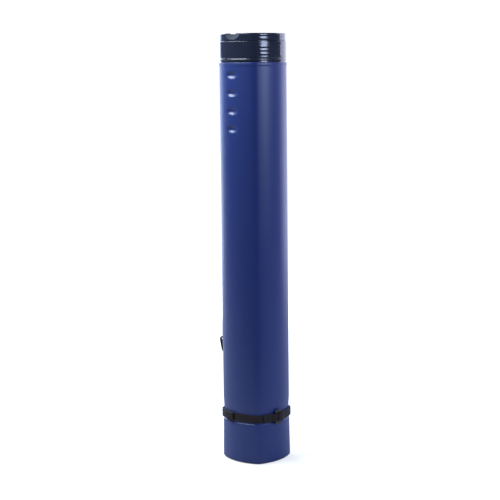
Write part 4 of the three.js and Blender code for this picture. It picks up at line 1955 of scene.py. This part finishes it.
@dataclass(frozen=True)
class TwistedThread:
    """Sewing thread with a fuzzy surface."""

    name: str
    colour: tuple[float, float, float]
    # shadow scales the colour down into painted shade in the fuzz's hollows.
    shadow: float = 0.6
    fuzz_scale: tuple[float, float, float] = (2500, 2500, 2500)
    relief_mm: float = 0.05
    roughness: float = 0.6
    roughness_spread: float = 0.2

    def build(self) -> bpy.types.Material:
        """The finish as a material.

        Returns:
            The material.
        """
        tree = ShaderTree(self.name)
        fuzz = tree.noise(self.fuzz_scale, 1.0)
        # dark is painted shade: the thread is darker where the fuzz bump is low, and its tone also varies
        # at random with the fuzz.
        dark = tuple(self.shadow * value for value in self.colour)
        return tree.finish(
            Base_Color=tree.mix(fuzz, dark, self.colour),
            Roughness=self.roughness + (fuzz - 0.5) * self.roughness_spread,
            Normal=tree.bump(fuzz, self.relief_mm),
        )


@dataclass(frozen=True)
class Finishes:
    """The finishes of this tube."""

    navy: MouldedPlastic = MouldedPlastic(
        name="navy_plastic",
        colour=(0.010, 0.025, 0.128),
        drift=(0.013, 0.030, 0.150),
        roughness=0.39,
        roughness_spread=0.05,
        specular=0.45,
        grain_mm=0.004,
        wave_mm=0.012,
    )
    inner: MouldedPlastic = MouldedPlastic(
        name="inner_plastic",
        colour=(0.012, 0.013, 0.017),
        drift=(0.016, 0.017, 0.022),
        roughness=0.36,
        roughness_spread=0.05,
        specular=0.45,
        grain_mm=0.004,
        wave_mm=0.012,
    )
    black: MouldedPlastic = MouldedPlastic(
        name="black_plastic",
        colour=(0.011, 0.015, 0.032),
        drift=(0.015, 0.019, 0.038),
        roughness=0.16,
        roughness_spread=0.04,
        specular=0.5,
        grain_mm=0.0006,
        wave_mm=0.010,
    )
    hardware: MouldedPlastic = MouldedPlastic(
        name="buckle_plastic",
        colour=(0.009, 0.009, 0.011),
        drift=(0.014, 0.014, 0.016),
        roughness=0.32,
        roughness_spread=0.06,
        specular=0.5,
        grain_mm=0.006,
        wave_mm=0.004,
    )
    webbing: WovenWebbing = WovenWebbing(
        name="webbing_weave", colour=(0.018, 0.013, 0.015), gap=(0.004, 0.003, 0.004)
    )
    thread: TwistedThread = TwistedThread("sewing_thread", (0.028, 0.024, 0.027))


@dataclass(frozen=True)
class SoftLight:
    """A soft box that faces the tube. Its side is the angle in degrees from the camera's side of
    the tube, to the right where it is positive."""

    name: str
    side: float
    reach: float
    height: float
    width: float
    tall: float
    radiance: float
    aim: float
    tint: tuple[float, float, float]

    def build(self, camera_side: float) -> None:
        """Makes the light.

        Args:
            camera_side: The camera's own angle round the tube, in degrees.
        """
        data = bpy.data.lights.new(self.name, "AREA")
        data.shape = "RECTANGLE"
        data.size = self.width
        data.size_y = self.tall
        data.energy = self.radiance * np.pi * self.width * self.tall
        data.color = self.tint
        light = bpy.data.objects.new(self.name, data)
        angle = np.radians(camera_side + self.side)
        light.location = (self.reach * np.cos(angle), self.reach * np.sin(angle), self.height)
        towards = Vector((0, 0, self.aim)) - light.location
        light.rotation_euler = towards.to_track_quat("-Z", "Y").to_euler()
        light.visible_camera = False
        bpy.context.scene.collection.objects.link(light)


@dataclass(frozen=True)
class Studio:
    """A pale sweep of floor and backdrop, a dim room and a few soft lights. Lengths in metres."""

    camera_side: float
    front: float = 0.45
    back: float = 5.4
    half_width: float = 5.4
    wall_height: float = 5.4
    bend: float = 1.5
    floor_shade: float = 0.42
    near_glow: float = 0.6
    mirrored_glow: float = 0.1
    drop: float = 0.0001
    near: float = 0.5
    far: float = 1.6
    room: float = 0.1
    room_tint: tuple[float, float, float] = (0.93, 0.95, 1.0)
    roughness: float = 0.9
    floor_rows: int = 12
    bend_rows: int = 16
    columns: int = 9
    lights: tuple[SoftLight, ...] = (
        SoftLight(
            "key_left", side=-84.0, reach=1.0, height=1.5, width=1.5, tall=0.36,
            radiance=18.0, aim=0.5, tint=(0.80, 0.90, 1.0),
        ),
        SoftLight(
            "top_left", side=-70.0, reach=0.42, height=0.92, width=0.34, tall=0.2,
            radiance=14.5, aim=0.54, tint=(0.80, 0.90, 1.0),
        ),
        SoftLight(
            "strip_right", side=61.0, reach=1.45, height=1.06, width=0.42, tall=1.0,
            radiance=17.5, aim=0.8, tint=(0.60, 0.71, 1.0),
        ),
        SoftLight(
            "rim_left", side=-149.0, reach=1.5, height=0.75, width=1.1, tall=1.6,
            radiance=9.5, aim=0.4, tint=(0.66, 0.77, 1.0),
        ),
        SoftLight(
            "rim_right", side=138.0, reach=1.5, height=0.75, width=1.25, tall=1.6,
            radiance=3.5, aim=0.4, tint=(0.72, 0.76, 1.0),
        ),
    )

    def sweep(self) -> bpy.types.Object:
        """The floor and the backdrop in one: a profile of floor, quarter bend and wall, carried
        sideways.

        Returns:
            The object.
        """
        bend_start = self.back - self.bend
        floor = np.linspace(-self.front, bend_start, self.floor_rows)
        flat = np.stack([floor, np.zeros(self.floor_rows)], -1)
        bend = arc((bend_start, self.bend), self.bend, -QUARTER, 0, self.bend_rows)[1:]
        profile = np.concatenate([flat, bend, [[self.back, self.wall_height]]])
        side = np.linspace(-self.half_width, self.half_width, self.columns)[None, :]
        away = profile[:, :1]
        angle = np.radians(self.camera_side + 180)
        x = away * np.cos(angle) - side * np.sin(angle)
        y = away * np.sin(angle) + side * np.cos(angle)
        z = np.broadcast_to(profile[:, 1:], x.shape) - self.drop
        grid = Shell.grid(np.stack([x, y, z], -1)[:, ::-1] / MM, closed_columns=False)
        return grid.to_object("sweep")

    def paint(self) -> bpy.types.Material:
        """Pale paint that is seen, and seen in reflections, a little brighter than it is lit.

        Returns:
            The material.
        """
        tree = ShaderTree("pale_sweep")
        seen = tree.node("ShaderNodeLightPath", {}, {}, "Is Camera Ray")
        mirrored = tree.node("ShaderNodeLightPath", {}, {}, "Is Glossy Ray")
        through = tree.node("ShaderNodeLightPath", {}, {}, "Is Transmission Ray")
        shade = self.floor_shade
        place = tree.node("ShaderNodeTexCoord", {}, {}, "Object")
        reach = tree.node("ShaderNodeVectorMath", {"operation": "LENGTH"}, {0: place}, "Value")
        ramp = {"interpolation_type": "SMOOTHSTEP"}
        ends = {"Value": reach, "From Min": self.near, "From Max": self.far, "To Min": self.near_glow}
        outward = tree.node("ShaderNodeMapRange", ramp, ends, "Result")
        reflected = mirrored.maths("MAXIMUM", mirrored, through) * self.mirrored_glow
        return tree.finish(
            Base_Color=(shade, shade, shade, 1.0),
            Roughness=self.roughness,
            Specular_IOR_Level=0.0,
            Emission_Color=WHITE,
            Emission_Strength=outward * (seen + reflected),
        )

    def world(self) -> None:
        """A dim room whose walls are seen as white."""
        world = bpy.data.worlds.new("room")
        bpy.context.scene.world = world
        world.use_nodes = True
        tree = NodeTree(world.node_tree)
        seen = tree.node("ShaderNodeLightPath", {}, {}, "Is Camera Ray")
        dim_inputs = {"Color": (*self.room_tint, 1.0), "Strength": self.room}
        dim = tree.node("ShaderNodeBackground", {}, dim_inputs)
        white = tree.node("ShaderNodeBackground", {}, {"Color": WHITE, "Strength": 1.0})
        both = tree.node("ShaderNodeMixShader", {}, {0: seen, 1: dim, 2: white})
        tree.show("ShaderNodeOutputWorld", both.socket)

    def build(self) -> None:
        """Makes the sweep, the room and the lights."""
        sweep = self.sweep()
        sweep.data.materials.append(self.paint())
        self.world()
        for light in self.lights:
            light.build(self.camera_side)


@dataclass(frozen=True)
class Viewpoint:
    """The camera at the photograph's viewing angle. Lengths in metres, angles in degrees."""

    side: float = -47.3
    distance: float = 1.942
    height: float = 0.597
    pitch: float = 8.156
    roll: float = -0.689
    pan: float = 0.208
    focal_pixels: float = 1304.0
    frame_pixels: float = 500.0
    sensor_mm: float = 36.0

    def build(self) -> None:
        """Makes the camera and sets it in the scene."""
        data = bpy.data.cameras.new("viewpoint")
        data.sensor_width = self.sensor_mm
        data.lens = self.sensor_mm * self.focal_pixels / self.frame_pixels
        camera = bpy.data.objects.new("viewpoint", data)
        angle = np.radians(self.side)
        camera.location = (self.distance * np.cos(angle), self.distance * np.sin(angle), self.height)
        heading = np.radians(self.side + 90 + self.pan)
        camera.rotation_mode = "XYZ"
        camera.rotation_euler = (np.radians(90 - self.pitch), 0, heading)
        camera.rotation_euler.rotate_axis("Z", np.radians(self.roll))
        bpy.context.scene.collection.objects.link(camera)
        bpy.context.scene.camera = camera


@dataclass
class PosterTube:
    """The whole tube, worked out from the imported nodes' places."""

    section: Section = field(default_factory=Section)
    webbing: Webbing = field(default_factory=Webbing)
    ribs: GripRibs = field(default_factory=GripRibs)
    finishes: Finishes = field(default_factory=Finishes)
    seat_below_belt: float = 2.5
    seat_above_belt: float = 1.0
    lug_drop: float = 32.0
    stop_thickness: float = 5.0
    channel_drop: float = 6.0
    travel_pitches: int = 18

    def build(self) -> None:
        """Builds every piece and enters it in the frame."""
        tube_low, tube_high = box_mm("outer_tube")
        belt_low, belt_high = box_mm("base_belt")
        collar_low, collar_high = box_mm("collar")
        inner_low, inner_high = box_mm("inner_tube")
        lid_low, lid_high = box_mm("lid")
        log.info("tube from %.1f to %.1f", tube_low[2], tube_high[2])
        mouth = tube_high[2]
        navy = self.finishes.navy.build()
        dark = self.finishes.inner.build()
        black = self.finishes.black.build()
        hardware = self.finishes.hardware.build()
        weave = self.finishes.webbing.build()
        thread = self.finishes.thread.build()

        tube = OuterTube(
            self.section,
            mouth,
            seat_bottom=belt_low[2] - self.seat_below_belt,
            seat_top=belt_high[2] + self.seat_above_belt,
        )
        enter(tube.build(), Body.OUTER, navy, ["outer_tube"])
        lug = StrapLug(self.section, mouth - self.lug_drop, self.webbing.width)
        enter(lug.build(), Body.OUTER, navy)

        first_rib = tube.dimple_heights[-1] - (self.travel_pitches - 0.5) * tube.dimple_pitch
        sliding = InnerTube(
            self.section,
            bottom=inner_low[2],
            top=inner_high[2],
            channel_bottom=inner_low[2] + self.stop_thickness,
            channel_top=mouth - self.channel_drop,
            first_rib=first_rib,
            rib_pitch=tube.dimple_pitch,
        )
        enter(sliding.build(), Body.INNER, dark, ["inner_tube"])
        socket_top = inner_high[2] + CLEARANCE
        collar = Collar(self.section, collar_low[2], collar_high[2], socket_top, self.ribs)
        enter(collar.build(), Body.INNER, black, ["collar"])
        lid = Lid(self.section, lid_low[2], lid_high[2], self.ribs, collar_high[2] + CLEARANCE)
        enter(lid.build(), Body.LID, self.finishes.black.build(lid.satin()), ["lid"])

        belt = BaseBelt(self.section, self.webbing, belt_low[2], tube.seat_depth)
        belt_strip, buckle, belt_thread = belt.build()
        enter(belt_strip, Body.OUTER, weave, ["base_belt"])
        enter(buckle, Body.OUTER, hardware, ["belt_buckle"])
        enter(belt_thread, Body.OUTER, thread)
        slider_middle = np.mean(box_mm("strap_slider"), axis=0)
        slider_out = -slider_middle[0] - self.section.half_flats
        strap = ShoulderStrap(self.section, self.webbing, belt, lug, slider_middle[2], slider_out)
        strap_strip, slider, strap_thread = strap.build()
        enter(strap_strip, Body.OUTER, weave, ["shoulder_strap"])
        enter(slider, Body.OUTER, hardware, ["strap_slider"])
        enter(strap_thread, Body.OUTER, thread)


def main() -> None:
    """Builds the tube, the studio and the camera."""
    logging.basicConfig(level=logging.INFO, format="%(message)s")
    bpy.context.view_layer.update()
    viewpoint = Viewpoint()
    viewpoint.build()
    PosterTube().build()
    Studio(viewpoint.side).build()
    bpy.context.scene.view_settings.view_transform = "Standard"
    bpy.context.view_layer.update()


if __name__ == "__main__":
    main()
